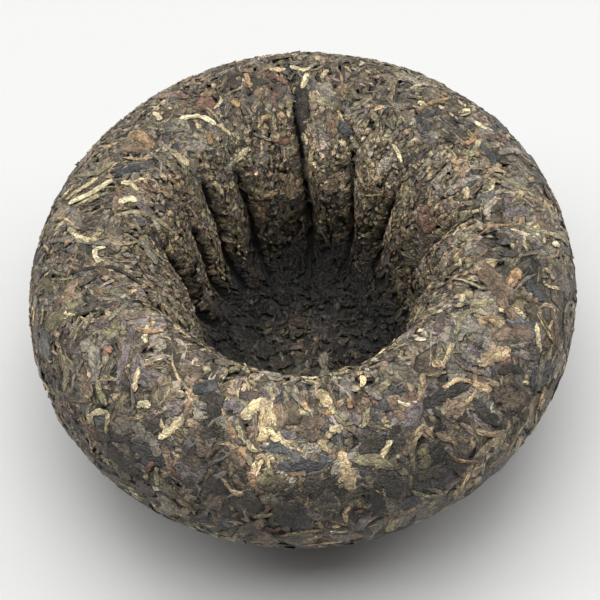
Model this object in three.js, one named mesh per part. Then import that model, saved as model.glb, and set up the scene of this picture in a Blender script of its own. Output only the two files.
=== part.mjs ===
// A pu-erh tuocha: 100 g of tea leaves steamed, wrapped in cloth and pressed into a nest.
// It is one solid. The domed side rests on a small flat foot, and the hollow that the
// twisted cloth leaves faces up, with the creases of the cloth running down into it.
// Units are millimetres, +Z is up, and the origin is in the middle, level with the foot.

import * as THREE from "three";

// ---- Driving dimensions, mm ----

const DIAMETER = 82.1; // at the widest, under the leaves that stand out
const HEIGHT = 39.4; // from the foot to the crest of the rim
const FOOT_DIAMETER = 20; // the flat spot that it rests on
const WAIST_HEIGHT = 25.2; // where it is widest
const CREST_DIAMETER = 52.8; // the highest ring of the rim
const THROAT_DIAMETER = 35; // where the rim's inner side turns into the hollow
const THROAT_HEIGHT = 22.2;
const HOLLOW_DEPTH = 29.4; // from the crest to the floor of the hollow
const HOLLOW_SHIFT = 1.2; // the hollow sits this far towards -Y of the middle

// Roundness of each stretch of the profile: 2 is an ellipse, and more is squarer.
const DOME_ROUNDNESS = 1.8;
const SHOULDER_ROUNDNESS = 2.2;
const LIP_ROUNDNESS = 1.8;
const BOWL_ROUNDNESS = 2.5;

// The nest isn't a true circle: shares of the radius, for waves round it.
const OVAL_SHARE = 0.006;
const OVAL_TURN = 53; // degrees, where the oval is longest
const LOBE_SHARE = 0.003;
const LOBE_TURN = 90; // degrees, where one of three lobes stands
const CREST_WAVE = 0.45; // mm that the crest rises and dips

// Size of a facet's side: finest in the hollow, where the creases are, and coarsest on
// the dome, which faces down.
const DOME_FACET = 2.5;
const RIM_FACET = 1.85;
const HOLLOW_FACET = 1.75;

// ---- The creases that the cloth left ----
// turn: where the crease meets the throat, in degrees from +X towards +Y.
// depth: how far it is pressed in, mm. reach: how far up the rim it runs, where 0 is
// the throat and 1 the crest. sweep: degrees that it leans by the time it gets there.

const CREASES = [
  { turn: 15, depth: 3.0, reach: 1.1, sweep: -12 },
  { turn: 44, depth: 1.9, reach: 0.75, sweep: -6 },
  { turn: 62, depth: 2.1, reach: 0.9, sweep: 3 },
  { turn: 84, depth: 3.2, reach: 1.2, sweep: 6 },
  { turn: 113, depth: 2.2, reach: 0.85, sweep: 5 },
  { turn: 131, depth: 2.2, reach: 0.9, sweep: 3 },
  { turn: 147, depth: 1.5, reach: 0.7, sweep: 3 },
  { turn: 167, depth: 2.0, reach: 0.95, sweep: 3 },
  { turn: 213, depth: 2.4, reach: 1.1, sweep: -14 },
  { turn: 239, depth: 1.7, reach: 0.7, sweep: -6 },
  { turn: 268, depth: 1.4, reach: 0.55, sweep: 4 },
  { turn: 298, depth: 1.6, reach: 0.65, sweep: -5 },
  { turn: 327, depth: 1.8, reach: 0.75, sweep: -6 },
  { turn: 354, depth: 2.0, reach: 0.9, sweep: -7 },
];
const CREASE_STEEP_SIDE = 0.9; // mm across the side that the fold laps over
const CREASE_EASY_SIDE = 2.4; // mm across the side that rises slowly
const CREASE_FADE = 0.4; // share of the rim over which a crease dies out
const FOLD_RISE = 1.0; // mm that the folds between the creases swell into the hollow
const FOLD_REACH = 0.9; // how far up the rim they swell
const COLUMN_TURN = 3.5; // degrees between the points along a fold
const COLUMN_CROWDING = 0.08; // how much closer they stand beside a crease
const COLUMN_END_RADIUS = 12; // below this radius the floor's rings are even

// ---- The pressed leaves that stand out of the surface ----

const LEAF_COUNT = 420;
const LEAF_LENGTH = [7, 13]; // mm, shortest and longest
const LEAF_WIDTH = [3.4, 6];
const LEAF_RISE = [0.1, 1.0]; // mm that a leaf's face stands out
const LEAF_TILT = 0.35; // mm that its ends rise and dip
const LEAF_EDGE = 3; // how sharply a leaf ends, as the inverse of its edge's share
const LEAF_SEED = 20;
const FOOT_EASE = 3.5; // mm above the foot over which the leaves come out
const SURFACE_REACH = 2.5; // mm off a leaf's own plane that it still covers

const LEAF_COLOUR = 0x3d352a;

// ---- Small helpers ----

const { degToRad: radians, clamp } = THREE.MathUtils;
const TURN = 2 * Math.PI;
const ROW_SHARE = Math.sqrt(3) / 2; // rows of even triangles stand this share of a side apart

// A generator of numbers from 0 to 1 that gives the same ones each time.
function seededRandom(seed) {
  let state = seed;
  return () => {
    state = (state + 0x6d2b79f5) | 0;
    let mixed = Math.imul(state ^ (state >>> 15), 1 | state);
    mixed = (mixed + Math.imul(mixed ^ (mixed >>> 7), 61 | mixed)) ^ mixed;
    return ((mixed ^ (mixed >>> 14)) >>> 0) / 4294967296;
  };
}

// The angle from b to a, from -PI to PI.
function turnBetween(a, b) {
  return Math.atan2(Math.sin(a - b), Math.cos(a - b));
}

// ---- The profile, from the middle of the foot to the middle of the hollow's floor ----

// A quarter of a superellipse between two corners. It leaves the first along the radius
// when flatFirst is true, and along the height otherwise.
function quarter(from, to, roundness, flatFirst) {
  const steps = 160;
  const points = [];
  for (let i = 1; i <= steps; i++) {
    const angle = ((i / steps) * Math.PI) / 2;
    const rise = Math.pow(Math.sin(angle), 2 / roundness);
    const fall = 1 - Math.pow(Math.max(Math.cos(angle), 0), 2 / roundness);
    const across = flatFirst ? rise : fall;
    const up = flatFirst ? fall : rise;
    points.push({
      r: from.r + (to.r - from.r) * across,
      z: from.z + (to.z - from.z) * up,
    });
  }
  return points;
}

function profilePoints() {
  const foot = { r: FOOT_DIAMETER / 2, z: 0 };
  const waist = { r: DIAMETER / 2, z: WAIST_HEIGHT };
  const crest = { r: CREST_DIAMETER / 2, z: HEIGHT };
  const throat = { r: THROAT_DIAMETER / 2, z: THROAT_HEIGHT };
  const floor = { r: 0, z: HEIGHT - HOLLOW_DEPTH };
  const stretches = [
    { points: quarter(foot, waist, DOME_ROUNDNESS, true), facet: DOME_FACET },
    { points: quarter(waist, crest, SHOULDER_ROUNDNESS, false), facet: RIM_FACET },
    { points: quarter(crest, throat, LIP_ROUNDNESS, true), facet: HOLLOW_FACET, inside: true },
    { points: quarter(throat, floor, BOWL_ROUNDNESS, false), facet: HOLLOW_FACET, inside: true },
  ];
  return stretches.flatMap(({ points, facet, inside = false }) =>
    points.map((point) => ({ ...point, facet, inside })),
  );
}

// The profile again with stops one facet apart, each with its outward normal. The foot's
// own stops come first, so that the foot is one flat face.
function profileStops() {
  const points = profilePoints();
  const down = { r: 0, z: -1 };
  const stops = [0.25, 0.5, 0.75, 1].map((share) => ({
    r: (FOOT_DIAMETER / 2) * share,
    z: 0,
    normal: down,
    facet: DOME_FACET,
    inside: false,
  }));
  let travelled = 0;
  for (let i = 1; i < points.length; i++) {
    const a = points[i - 1];
    const b = points[i];
    const step = Math.hypot(b.r - a.r, b.z - a.z);
    travelled += step / (b.facet * ROW_SHARE);
    if (travelled >= 1 && b.r > b.facet) {
      stops.push({ ...b, normal: { r: (b.z - a.z) / step, z: -(b.r - a.r) / step } });
      travelled -= 1;
    }
  }
  return stops;
}

// ---- How the plain turned form is bent out of true ----

function outOfRound(angle) {
  return (
    1 +
    OVAL_SHARE * Math.cos(2 * (angle - radians(OVAL_TURN))) +
    LOBE_SHARE * Math.cos(3 * (angle - radians(LOBE_TURN)))
  );
}

// How far up the rim a point is: 0 at the throat and below, 1 at the crest, over 1 outside.
function rimShare(stop) {
  if (!stop.inside) return 1 + (stop.r - CREST_DIAMETER / 2) / (DIAMETER / 2);
  return Math.max(0, (stop.z - THROAT_HEIGHT) / (HEIGHT - THROAT_HEIGHT));
}

// The angle at which a crease runs at some share of the rim.
function creaseAngle(crease, share) {
  return radians(crease.turn + crease.sweep * Math.min(share / crease.reach, 1.4));
}

// Each gap between two creases: where it starts and how wide it is, in radians.
function gapsAt(share) {
  return CREASES.map((crease, i) => {
    const next = CREASES[(i + 1) % CREASES.length];
    const start = creaseAngle(crease, share);
    const lap = i + 1 === CREASES.length ? TURN : 0;
    return { start, width: creaseAngle(next, share) + lap - start };
  });
}

// mm that the creases press the surface in, less what the folds between them swell out.
function foldDepth(stop, angle) {
  if (!stop.inside && stop.z < WAIST_HEIGHT) return 0;
  const share = rimShare(stop);
  const ease = Math.min(1, stop.r / (THROAT_DIAMETER / 2)) ** 2;
  let press = 0;
  for (const crease of CREASES) {
    const across = turnBetween(angle, creaseAngle(crease, share)) * stop.r;
    const side = across < 0 ? CREASE_STEEP_SIDE : CREASE_EASY_SIDE;
    const fade = clamp((crease.reach - share) / CREASE_FADE, 0, 1);
    press = Math.max(press, crease.depth * fade * Math.exp(-Math.abs(across) / side));
  }
  const swell = clamp((FOLD_REACH - share) / FOLD_REACH, 0, 1) * FOLD_RISE;
  return ease * (press - swell * placeInGap(angle, share));
}

// 0 on a crease and 1 in the middle between two.
function placeInGap(angle, share) {
  for (const { start, width } of gapsAt(share)) {
    const past = (((angle - start) % TURN) + TURN) % TURN;
    if (past < width) return Math.sin((past / width) * Math.PI);
  }
  return 0;
}

// 0 at the crest, 1 at the throat and below: how much the hollow is off the middle.
function hollowShare(stop) {
  return stop.inside ? clamp((HEIGHT - stop.z) / (HEIGHT - THROAT_HEIGHT), 0, 1) : 0;
}

// The point of the bent form for a stop and an angle, with its normal.
function bentPoint(stop, angle) {
  const radial = new THREE.Vector3(Math.cos(angle), Math.sin(angle), 0);
  const normal = radial.clone().multiplyScalar(stop.normal.r);
  normal.z = stop.normal.z;
  const wave = Math.sin(2 * angle + 0.6) + 0.6 * Math.sin(3 * angle + 2);
  const place = radial.multiplyScalar(stop.r * outOfRound(angle));
  place.y -= HOLLOW_SHIFT * hollowShare(stop);
  place.z = stop.z + (stop.z / HEIGHT) ** 2 * CREST_WAVE * wave;
  place.addScaledVector(normal, -foldDepth(stop, angle));
  return { place, normal, stop, turn: angle / TURN };
}

// ---- Rings of points, and the leaves over them ----

// Angles one facet apart, with every other ring turned by half a facet.
function evenAngles(stop, row) {
  const count = Math.max(6, Math.round((TURN * stop.r) / stop.facet));
  const offset = (row % 2) / 2;
  return Array.from({ length: count }, (_, i) => ((i + offset) / count) * TURN);
}

// Angles that run with the creases, so that each crease is a clean line of edges.
function foldAngles(stop) {
  return gapsAt(rimShare(stop)).flatMap(({ start, width }, i) => {
    const plain = gapsAt(0)[i].width;
    const count = Math.max(5, Math.round(plain / radians(COLUMN_TURN)));
    return Array.from({ length: count }, (_, k) => {
      const share = k / count;
      return start + width * (share - COLUMN_CROWDING * Math.sin(share * TURN));
    });
  });
}

function surfaceRings() {
  return profileStops().map((stop, row) => {
    const folded = stop.inside && stop.r > COLUMN_END_RADIUS;
    const angles = folded ? foldAngles(stop) : evenAngles(stop, row);
    return angles.map((angle) => bentPoint(stop, angle));
  });
}

// Leaves lie flat on the surface in every direction, spread evenly over it.
function scatterLeaves(points) {
  const random = seededRandom(LEAF_SEED);
  const between = ([low, high]) => low + (high - low) * random();
  const leaves = [];
  for (let i = 0; i < LEAF_COUNT; i++) {
    const { place, normal } = points[Math.floor(random() * points.length)];
    const along = new THREE.Vector3(random() - 0.5, random() - 0.5, random() - 0.5);
    along.addScaledVector(normal, -along.dot(normal)).normalize();
    leaves.push({
      middle: place,
      normal,
      along,
      across: new THREE.Vector3().crossVectors(normal, along),
      halfLength: between(LEAF_LENGTH) / 2,
      halfWidth: between(LEAF_WIDTH) / 2,
      rise: between(LEAF_RISE),
      tilt: (random() - 0.5) * 2 * LEAF_TILT,
    });
  }
  return leaves;
}

// mm that the leaves stand out at a point: the top leaf of those that cover it.
function leafRise(place, leaves) {
  const offset = new THREE.Vector3();
  let highest = 0;
  for (const leaf of leaves) {
    offset.subVectors(place, leaf.middle);
    if (Math.abs(offset.dot(leaf.normal)) > SURFACE_REACH) continue;
    const u = offset.dot(leaf.along) / leaf.halfLength;
    const v = offset.dot(leaf.across) / leaf.halfWidth;
    const inside = 1 - (u * u + v * v);
    if (inside <= 0) continue;
    const edge = Math.min(1, inside * LEAF_EDGE);
    highest = Math.max(highest, edge * (leaf.rise + leaf.tilt * u));
  }
  return highest;
}

function coverWithLeaves(rings) {
  const points = rings.flat();
  const leaves = scatterLeaves(points);
  return points.map(({ place, normal, stop }) => {
    const ease = clamp(stop.z / FOOT_EASE, 0, 1);
    const moved = place.clone().addScaledVector(normal, ease * leafRise(place, leaves));
    moved.z = stop.z === 0 ? 0 : Math.max(moved.z, 0.02);
    return moved;
  });
}

// ---- The closed mesh ----

// Triangles between two rings that may differ in how many points they have.
function stitch(lower, upper, lowerStart, upperStart, faces) {
  let a = 0;
  let b = 0;
  const turnOf = (ring, i) => ring[i % ring.length].turn + Math.floor(i / ring.length);
  while (a < lower.length || b < upper.length) {
    const lowerNext = a < lower.length ? turnOf(lower, a + 1) : Infinity;
    const upperNext = b < upper.length ? turnOf(upper, b + 1) : Infinity;
    const lowerPoint = lowerStart + (a % lower.length);
    const upperPoint = upperStart + (b % upper.length);
    if (lowerNext <= upperNext) {
      a += 1;
      faces.push(lowerPoint, lowerStart + (a % lower.length), upperPoint);
    } else {
      b += 1;
      faces.push(lowerPoint, upperStart + (b % upper.length), upperPoint);
    }
  }
}

// Triangles from one ring to the single point that closes it.
function closeRing(ring, start, pole, facesDown, faces) {
  for (let i = 0; i < ring.length; i++) {
    const here = start + i;
    const next = start + ((i + 1) % ring.length);
    if (facesDown) faces.push(pole, next, here);
    else faces.push(here, next, pole);
  }
}

function nestGeometry() {
  const rings = surfaceRings();
  const points = coverWithLeaves(rings);
  const faces = [];
  let start = 0;
  for (let i = 0; i + 1 < rings.length; i++) {
    stitch(rings[i], rings[i + 1], start, start + rings[i].length, faces);
    start += rings[i].length;
  }
  const last = rings.at(-1);
  const floor = last.reduce((sum, _, i) => sum.add(points[start + i]), new THREE.Vector3());
  points.push(new THREE.Vector3(0, 0, 0), floor.divideScalar(last.length));
  closeRing(rings[0], 0, points.length - 2, true, faces);
  closeRing(last, start, points.length - 1, false, faces);

  const geometry = new THREE.BufferGeometry().setFromPoints(points);
  geometry.setIndex(faces);
  geometry.computeBoundingBox();
  const centre = geometry.boundingBox.getCenter(new THREE.Vector3());
  geometry.translate(-centre.x, -centre.y, 0);
  geometry.computeVertexNormals();
  return geometry;
}

// ---- The part ----

const material = new THREE.MeshStandardMaterial({
  color: LEAF_COLOUR,
  roughness: 0.8,
  metalness: 0,
});
const tuocha = new THREE.Mesh(nestGeometry(), material);
tuocha.name = "tuocha";

const part = new THREE.Group();
part.add(tuocha);

export default part;
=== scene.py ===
import logging
import math
from dataclasses import dataclass, field
from enum import Enum

import bpy
import numpy as np
from mathutils import Matrix, Vector


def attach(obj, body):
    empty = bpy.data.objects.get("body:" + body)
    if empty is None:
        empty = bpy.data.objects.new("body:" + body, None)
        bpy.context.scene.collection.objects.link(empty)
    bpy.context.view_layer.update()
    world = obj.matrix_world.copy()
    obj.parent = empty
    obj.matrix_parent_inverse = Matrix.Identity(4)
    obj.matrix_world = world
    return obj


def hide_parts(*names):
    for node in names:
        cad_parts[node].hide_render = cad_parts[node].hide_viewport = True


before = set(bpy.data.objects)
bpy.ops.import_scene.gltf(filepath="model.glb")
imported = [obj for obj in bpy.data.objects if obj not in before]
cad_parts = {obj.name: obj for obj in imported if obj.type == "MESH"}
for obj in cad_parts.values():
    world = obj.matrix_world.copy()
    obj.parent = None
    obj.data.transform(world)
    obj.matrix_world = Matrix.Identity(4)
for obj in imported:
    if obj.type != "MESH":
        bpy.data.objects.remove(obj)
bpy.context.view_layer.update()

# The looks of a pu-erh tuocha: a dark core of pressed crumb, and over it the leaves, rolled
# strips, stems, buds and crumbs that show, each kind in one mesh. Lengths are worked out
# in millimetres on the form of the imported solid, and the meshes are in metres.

LOG = logging.getLogger("tuocha")
MM = 0.001
TURN = 2.0 * math.pi
EVEN_STEPS = (0.7548776662, 0.5698402910)  # 1 / 1.3247 and its square, which fill a square evenly
CUBE_MIX = (73856093, 19349663, 83492791)
GRAIN_MIX = (0.137, 0.311, 0.733)
UV_MM = 10.0
UV_SPOTS = 50.0
BODY = "root"
NODE = "tuocha"
Array = np.ndarray
Span = tuple[float, float]
Pixel = tuple[int, int]


# ---- The form that everything lies on ----


@dataclass(frozen=True)
class Crease:
    """A crease that the cloth left: degrees, mm deep, share of the rim, degrees of lean."""

    turn: float
    depth: float
    reach: float
    sweep: float


CREASES = (
    Crease(15, 3.0, 1.1, -12),
    Crease(44, 1.9, 0.75, -6),
    Crease(62, 2.1, 0.9, 3),
    Crease(84, 3.2, 1.2, 6),
    Crease(113, 2.2, 0.85, 5),
    Crease(131, 2.2, 0.9, 3),
    Crease(147, 1.5, 0.7, 3),
    Crease(167, 2.0, 0.95, 3),
    Crease(213, 2.4, 1.1, -14),
    Crease(239, 1.7, 0.7, -6),
    Crease(268, 1.4, 0.55, 4),
    Crease(298, 1.6, 0.65, -5),
    Crease(327, 1.8, 0.75, -6),
    Crease(354, 2.0, 0.9, -7),
)


@dataclass(frozen=True)
class Patch:
    """A lighter or darker part, partly the mix of leaves and partly painted light and shade: mm out of the
    crest, degrees, mm of radius, share more light.
    """

    out: float
    turn: float
    size: float
    gain: float


PATCHES = (
    Patch(15, 229, 4, -0.56),
    Patch(11, 249, 4, -0.49),
    Patch(14, 271, 4, -0.49),
    Patch(16, 284, 4.5, -0.49),
    Patch(15, 297, 4, -0.49),
    Patch(13.5, 321, 3, -0.42),
    Patch(1, 72, 3, -0.3),
    Patch(9, 288, 3, -0.35),
    Patch(4.5, 350, 5, -0.3),
    Patch(12, 349, 3, -0.4),
    Patch(2.5, 300, 3, -0.3),
    Patch(7.5, 228, 3, -0.35),
    Patch(1, 105, 5, -0.2),
    Patch(12, 201, 3, -0.3),
    Patch(1, 172, 4, -0.25),
    Patch(-6.5, 144, 2.5, -0.3),
    Patch(9, 255, 2.5, 0.4),
    Patch(-6, 90, 2.5, 0.4),
    Patch(2.5, 274, 3, 0.35),
    Patch(-4, 309, 3, 0.25),
    Patch(5.5, 260, 3, 0.2),
    Patch(-6, 62, 4, 0.45),
    Patch(-10, 80, 4, 0.3),
    Patch(-31, 85, 10, -0.6),
    Patch(-23, 140, 4, 1.0),
    Patch(-41, 270, 6, 0.4),
    Patch(3, 225, 4, 0.3),
    Patch(8, 190, 6, 0.2),
    Patch(9, 0, 5, 0.2),
    Patch(3, 20, 5, 0.3),
    Patch(6, 235, 3, 0.35),
    Patch(12, 258, 3, 0.59),
    Patch(10, 275, 2.5, 0.68),
    Patch(19, 240, 4, 0.68),
    Patch(21, 262, 5, -0.42),
    Patch(22, 285, 4, 0.68),
    Patch(12, 310, 3, 0.51),
    Patch(20, 302, 4, 0.51),
)

# Painted light and shade along the profile, by mm inside the crest: all round, and in front.
# Painted shade down the hollow and on the lower front; painted light on the front rim and inner wall, which
# also stands for paler crumbs there.
PAINTED_LIGHT_ALONG = (
    (-30, 1.0), (-11, 1.15), (-6, 0.97), (0, 1.0), (4, 1.15), (10, 1.15), (15, 1.2), (19, 1.05), (22, 1.3),
    (24, 1.1), (26, 0.55), (28, 0.25), (31, 0.09), (36, 0.12), (40, 0.33), (44, 0.48),
)
PAINTED_LIGHT_FRONT = (
    (-26, 1.0), (-22, 0.95), (-19, 0.75), (-16, 0.6), (-13, 0.75), (-10, 0.92), (-6, 1.1), (-1, 1.24),
    (3, 1.28), (8, 1.05),
)


@dataclass(frozen=True)
class Stops:
    """Places on the plain profile: radius, height, outward normal and whether inside."""

    r: Array
    z: Array
    nr: Array
    nz: Array
    inside: Array


@dataclass
class NestForm:
    """The nest's own form, turned from a profile and bent out of true, in mm."""

    diameter: float = 82.1
    height: float = 39.4
    foot_diameter: float = 20.0
    waist_height: float = 25.2
    crest_diameter: float = 52.8
    # Painted shade between the bits and painted light on those that stand out: the most light, mm below the
    # form where it is least, and mm from least to most.
    throat_diameter: float = 35.0
    throat_height: float = 22.2
    hollow_depth: float = 29.4
    hollow_shift: float = 1.2
    roundness: tuple[float, float, float, float] = (1.8, 2.2, 1.8, 2.5)
    oval_share: float = 0.006
    oval_turn: float = 53.0
    lobe_share: float = 0.003
    crest_wave: float = 0.45
    steep_side: float = 0.9
    easy_side: float = 2.4
    crease_fade: float = 0.4
    fold_rise: float = 1.0
    fold_reach: float = 0.9
    pole_radius: float = 8.0
    # crease_line, painted_crease_shade and painted_side_light paint shade along each crease and light on its
    # sides; brightest caps the painted light of the mix.
    crease_line: float = 0.55
    painted_crease_shade: float = 0.85
    painted_side_light: float = 0.4
    brightest: float = 1.4
    faintest: float = 0.05
    bowl_fade: Span = (1.6, 0.6)
    front_spread: float = 1.3
    creases: tuple[Crease, ...] = CREASES

    def __post_init__(self) -> None:
        """Lays the profile out as a table of places every 0.1 mm along it."""
        foot = (self.foot_diameter / 2, 0.0)
        waist = (self.diameter / 2, self.waist_height)
        crest = (self.crest_diameter / 2, self.height)
        throat = (self.throat_diameter / 2, self.throat_height)
        floor = (0.0, self.height - self.hollow_depth)
        dome, shoulder, lip, bowl = self.roundness
        sole = np.stack([np.linspace(0.0, foot[0], 60), np.zeros(60)], axis=1)
        outer = [sole, self.quarter(foot, waist, dome, True), self.quarter(waist, crest, shoulder, False)]
        inner = [self.quarter(crest, throat, lip, True), self.quarter(throat, floor, bowl, False)]
        line = np.concatenate(outer + inner)
        steps = np.hypot(*np.diff(line, axis=0).T)
        arc = np.concatenate([[0.0], np.cumsum(steps)])
        self.crest_arc = arc[sum(len(part) for part in outer) - 1]
        self.length = float(arc[-1])
        self.arc = np.linspace(0.0, self.length, int(self.length * 10))
        self.r = np.interp(self.arc, arc, line[:, 0])
        self.z = np.interp(self.arc, arc, line[:, 1])
        along_r, along_z = np.gradient(self.r), np.gradient(self.z)
        size = np.hypot(along_r, along_z)
        self.nr, self.nz = along_z / size, -along_r / size

    @staticmethod
    def quarter(start: Span, end: Span, roundness: float, flat_first: bool) -> Array:
        """A quarter of a superellipse between two corners of the profile.

        One coordinate goes as sin^(2/n) and the other as 1 - cos^(2/n) of an angle that
        runs from 0 to a right angle. The one along the radius rises first where flat_first.

        Args:
            start: Radius and height that it leaves.
            end: Radius and height that it reaches.
            roundness: n, where 2 is an ellipse and more is squarer.
            flat_first: Whether it leaves along the radius.

        Returns:
            Points as rows of radius and height, the start left out.
        """
        angle = np.linspace(0.0, math.pi / 2, 401)[1:]
        rise = np.sin(angle) ** (2 / roundness)
        fall = 1 - np.clip(np.cos(angle), 0, None) ** (2 / roundness)
        across, up = (rise, fall) if flat_first else (fall, rise)
        return np.array(start) + (np.array(end) - np.array(start)) * np.stack([across, up], axis=1)

    def stops(self, arc: Array) -> Stops:
        """Reads the profile's table at distances along it.

        Args:
            arc: Distances from the middle of the foot, mm.

        Returns:
            The places there.
        """
        read = [np.interp(arc, self.arc, table) for table in (self.r, self.z, self.nr, self.nz)]
        return Stops(*read, inside=arc > self.crest_arc)

    def rim_share(self, stops: Stops) -> Array:
        """How far up the rim: 0 at the throat and below, 1 at the crest, over 1 outside.

        Args:
            stops: Places on the profile.

        Returns:
            Shares of the rim's height within, and 1 + the share of its width outside.
        """
        outside = 1 + (stops.r - self.crest_diameter / 2) / (self.diameter / 2)
        within = np.clip((stops.z - self.throat_height) / (self.height - self.throat_height), 0, None)
        return np.where(stops.inside, within, outside)

    def of_creases(self, size: str) -> Array:
        """One of the creases' sizes, by its name, for all of them."""
        return np.array([getattr(crease, size) for crease in self.creases])

    def crease_angles(self, share: Array) -> Array:
        """The angle of each crease at some shares of the rim, on a new last axis."""
        turn, reach, sweep = (self.of_creases(key) for key in ("turn", "reach", "sweep"))
        return np.radians(turn + sweep * np.minimum(share[..., None] / reach, 1.4))

    def gap_place(self, turn: Array, share: Array) -> Array:
        """Where a point lies in the gap between two creases, from 0 at one to 1 at the next.

        Args:
            turn: Angles round the nest.
            share: Shares of the rim.

        Returns:
            Shares of the gap.
        """
        start = self.crease_angles(share)
        width = np.mod(np.roll(start, -1, axis=-1) - start, TURN)
        past = np.mod(turn[..., None] - start, TURN)
        found = np.argmax(past < width, axis=-1)[..., None]
        return (np.take_along_axis(past, found, -1) / np.take_along_axis(width, found, -1))[..., 0]

    def fold_depth(self, turn: Array, stops: Stops) -> Array:
        """How far the cloth's folds press the surface in.

        Each crease is depth * exp(-distance / side), with a steep and an easy side, and the
        deepest counts. Between two creases the fold swells out by half a sine wave.

        Args:
            turn: Angles round the nest.
            stops: Places on the profile.

        Returns:
            mm inwards along the normal.
        """
        share = self.rim_share(stops)
        depth, reach = self.of_creases("depth"), self.of_creases("reach")
        across = np.angle(np.exp(1j * (turn[..., None] - self.crease_angles(share)))) * stops.r[..., None]
        side = np.where(across < 0, self.steep_side, self.easy_side)
        fade = np.clip((reach - share[..., None]) / self.crease_fade, 0, 1)
        press = np.max(depth * fade * np.exp(-np.abs(across) / side), axis=-1)
        swell = np.clip((self.fold_reach - share) / self.fold_reach, 0, 1) * self.fold_rise
        ease = np.minimum(1, stops.r / (self.throat_diameter / 2)) ** 2
        depth_in = ease * (press - swell * np.sin(math.pi * self.gap_place(turn, share)))
        return np.where(stops.inside | (stops.z > self.waist_height), depth_in, 0.0)

    def nearest_crease(self, arc: Array, turn: Array) -> tuple[Array, Array, Array]:
        """Finds the crease that is nearest to some places.

        Args:
            arc: Distances along the profile, mm.
            turn: Angles round the nest.

        Returns:
            mm across to it, its strength there from 0 to 1, and the way that it runs, as an
            angle from the profile's own direction.
        """
        share = self.rim_share(self.stops(arc))
        radius = np.interp(arc, self.arc, self.r)[..., None]
        depth, reach = self.of_creases("depth"), self.of_creases("reach")
        angle = self.crease_angles(share)
        across = np.angle(np.exp(1j * (turn[..., None] - angle))) * radius
        strength = depth / depth.max() * np.clip((reach - share[..., None]) / self.crease_fade, 0, 1)
        gain, loss = self.bowl_fade
        strength = strength * np.clip(radius / (self.throat_diameter / 2) * gain - loss, 0, 1) ** 2
        lean = (self.crease_angles(self.rim_share(self.stops(arc + 1.0))) - angle) * radius
        distance = np.where(strength > self.faintest, np.abs(across), np.inf)
        nearest = np.argmin(distance, axis=-1)[..., None]
        tables = (across, strength, np.arctan(lean))
        found = [np.take_along_axis(table, nearest, -1)[..., 0] for table in tables]
        return found[0], found[1], found[2]

    def shade(self, arc: Array, turn: Array) -> Array:
        """Painted shade and light: about 1 on the open rim, less in creases and down the hollow.

        A crease is painted darker by painted_crease_shade * exp(-(distance / crease_line)^2),
        and its sides are painted lighter by painted_side_light over four times the width. The
        table of painted light and shade along the profile is joined by straight lines.

        Args:
            arc: Distances along the profile, mm.
            turn: Angles round the nest.

        Returns:
            Shares of lightness, painted in as shade and light.
        """
        across, strength, _ = self.nearest_crease(arc, turn)
        line = np.exp(-((across / self.crease_line) ** 2))
        sides = np.exp(-((across / self.crease_line / 4) ** 2))
        crease = (1 - self.painted_crease_shade * strength * line) * (1 + self.painted_side_light * strength * sides)
        return crease * np.interp(arc - self.crest_arc, *np.array(PAINTED_LIGHT_ALONG).T)

    def mix_and_painted_light(self, arc: Array, turn: Array) -> Array:
        """How light the mix of leaves is from part to part, with painted light and shade.

        The table of painted light and shade in front is joined by straight lines and counts
        by the sine of the angle. Each patch gives gain * exp(-(distance / size)^2) more, and
        no part goes over brightest.

        Args:
            arc: Distances along the profile, mm.
            turn: Angles round the nest.

        Returns:
            Shares of lightness: the mix of leaves, and painted light and shade.
        """
        inside = arc - self.crest_arc
        light = 1 + self.ahead(turn) * (np.interp(inside, *np.array(PAINTED_LIGHT_FRONT).T) - 1)
        radius = np.interp(arc, self.arc, self.r)
        for patch in PATCHES:
            aside = np.angle(np.exp(1j * (turn - math.radians(patch.turn)))) * radius
            away = np.hypot(inside + patch.out, aside) / patch.size
            light = light * (1 + patch.gain * np.exp(-(away**2)))
        return np.minimum(light, self.brightest)

    def ahead(self, turn: Array) -> Array:
        """1 at the front, and 0 at the sides and behind."""
        return np.clip(-self.front_spread * np.sin(turn), 0, 1)

    def points(self, arc: Array, turn: Array, lift: Array | float = 0.0) -> Array:
        """Points on the bent form, or off it along the plain profile's normal.

        The radius is multiplied by 1 + two cosine waves round the nest, the rim rises and
        dips by sine waves that grow with height squared, the hollow is slid towards -Y,
        and the folds press in.

        Args:
            arc: Distances along the profile, mm.
            turn: Angles round the nest.
            lift: mm outwards.

        Returns:
            Points in mm, on a new last axis.
        """
        stops = self.stops(arc)
        oval = 1 + self.oval_share * np.cos(2 * (turn - math.radians(self.oval_turn)))
        oval = oval + self.lobe_share * np.cos(3 * (turn - math.pi / 2))
        wave = np.sin(2 * turn + 0.6) + 0.6 * np.sin(3 * turn + 2)
        rest = self.height - self.throat_height
        slide = np.where(stops.inside, np.clip((self.height - stops.z) / rest, 0, 1), 0) * self.hollow_shift
        out = lift - self.fold_depth(turn, stops)
        r = stops.r * oval + stops.nr * out
        z = stops.z + (stops.z / self.height) ** 2 * self.crest_wave * wave + stops.nz * out
        return np.stack([r * np.cos(turn), r * np.sin(turn) - slide, np.maximum(z, 0.02)], axis=-1)

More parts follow.
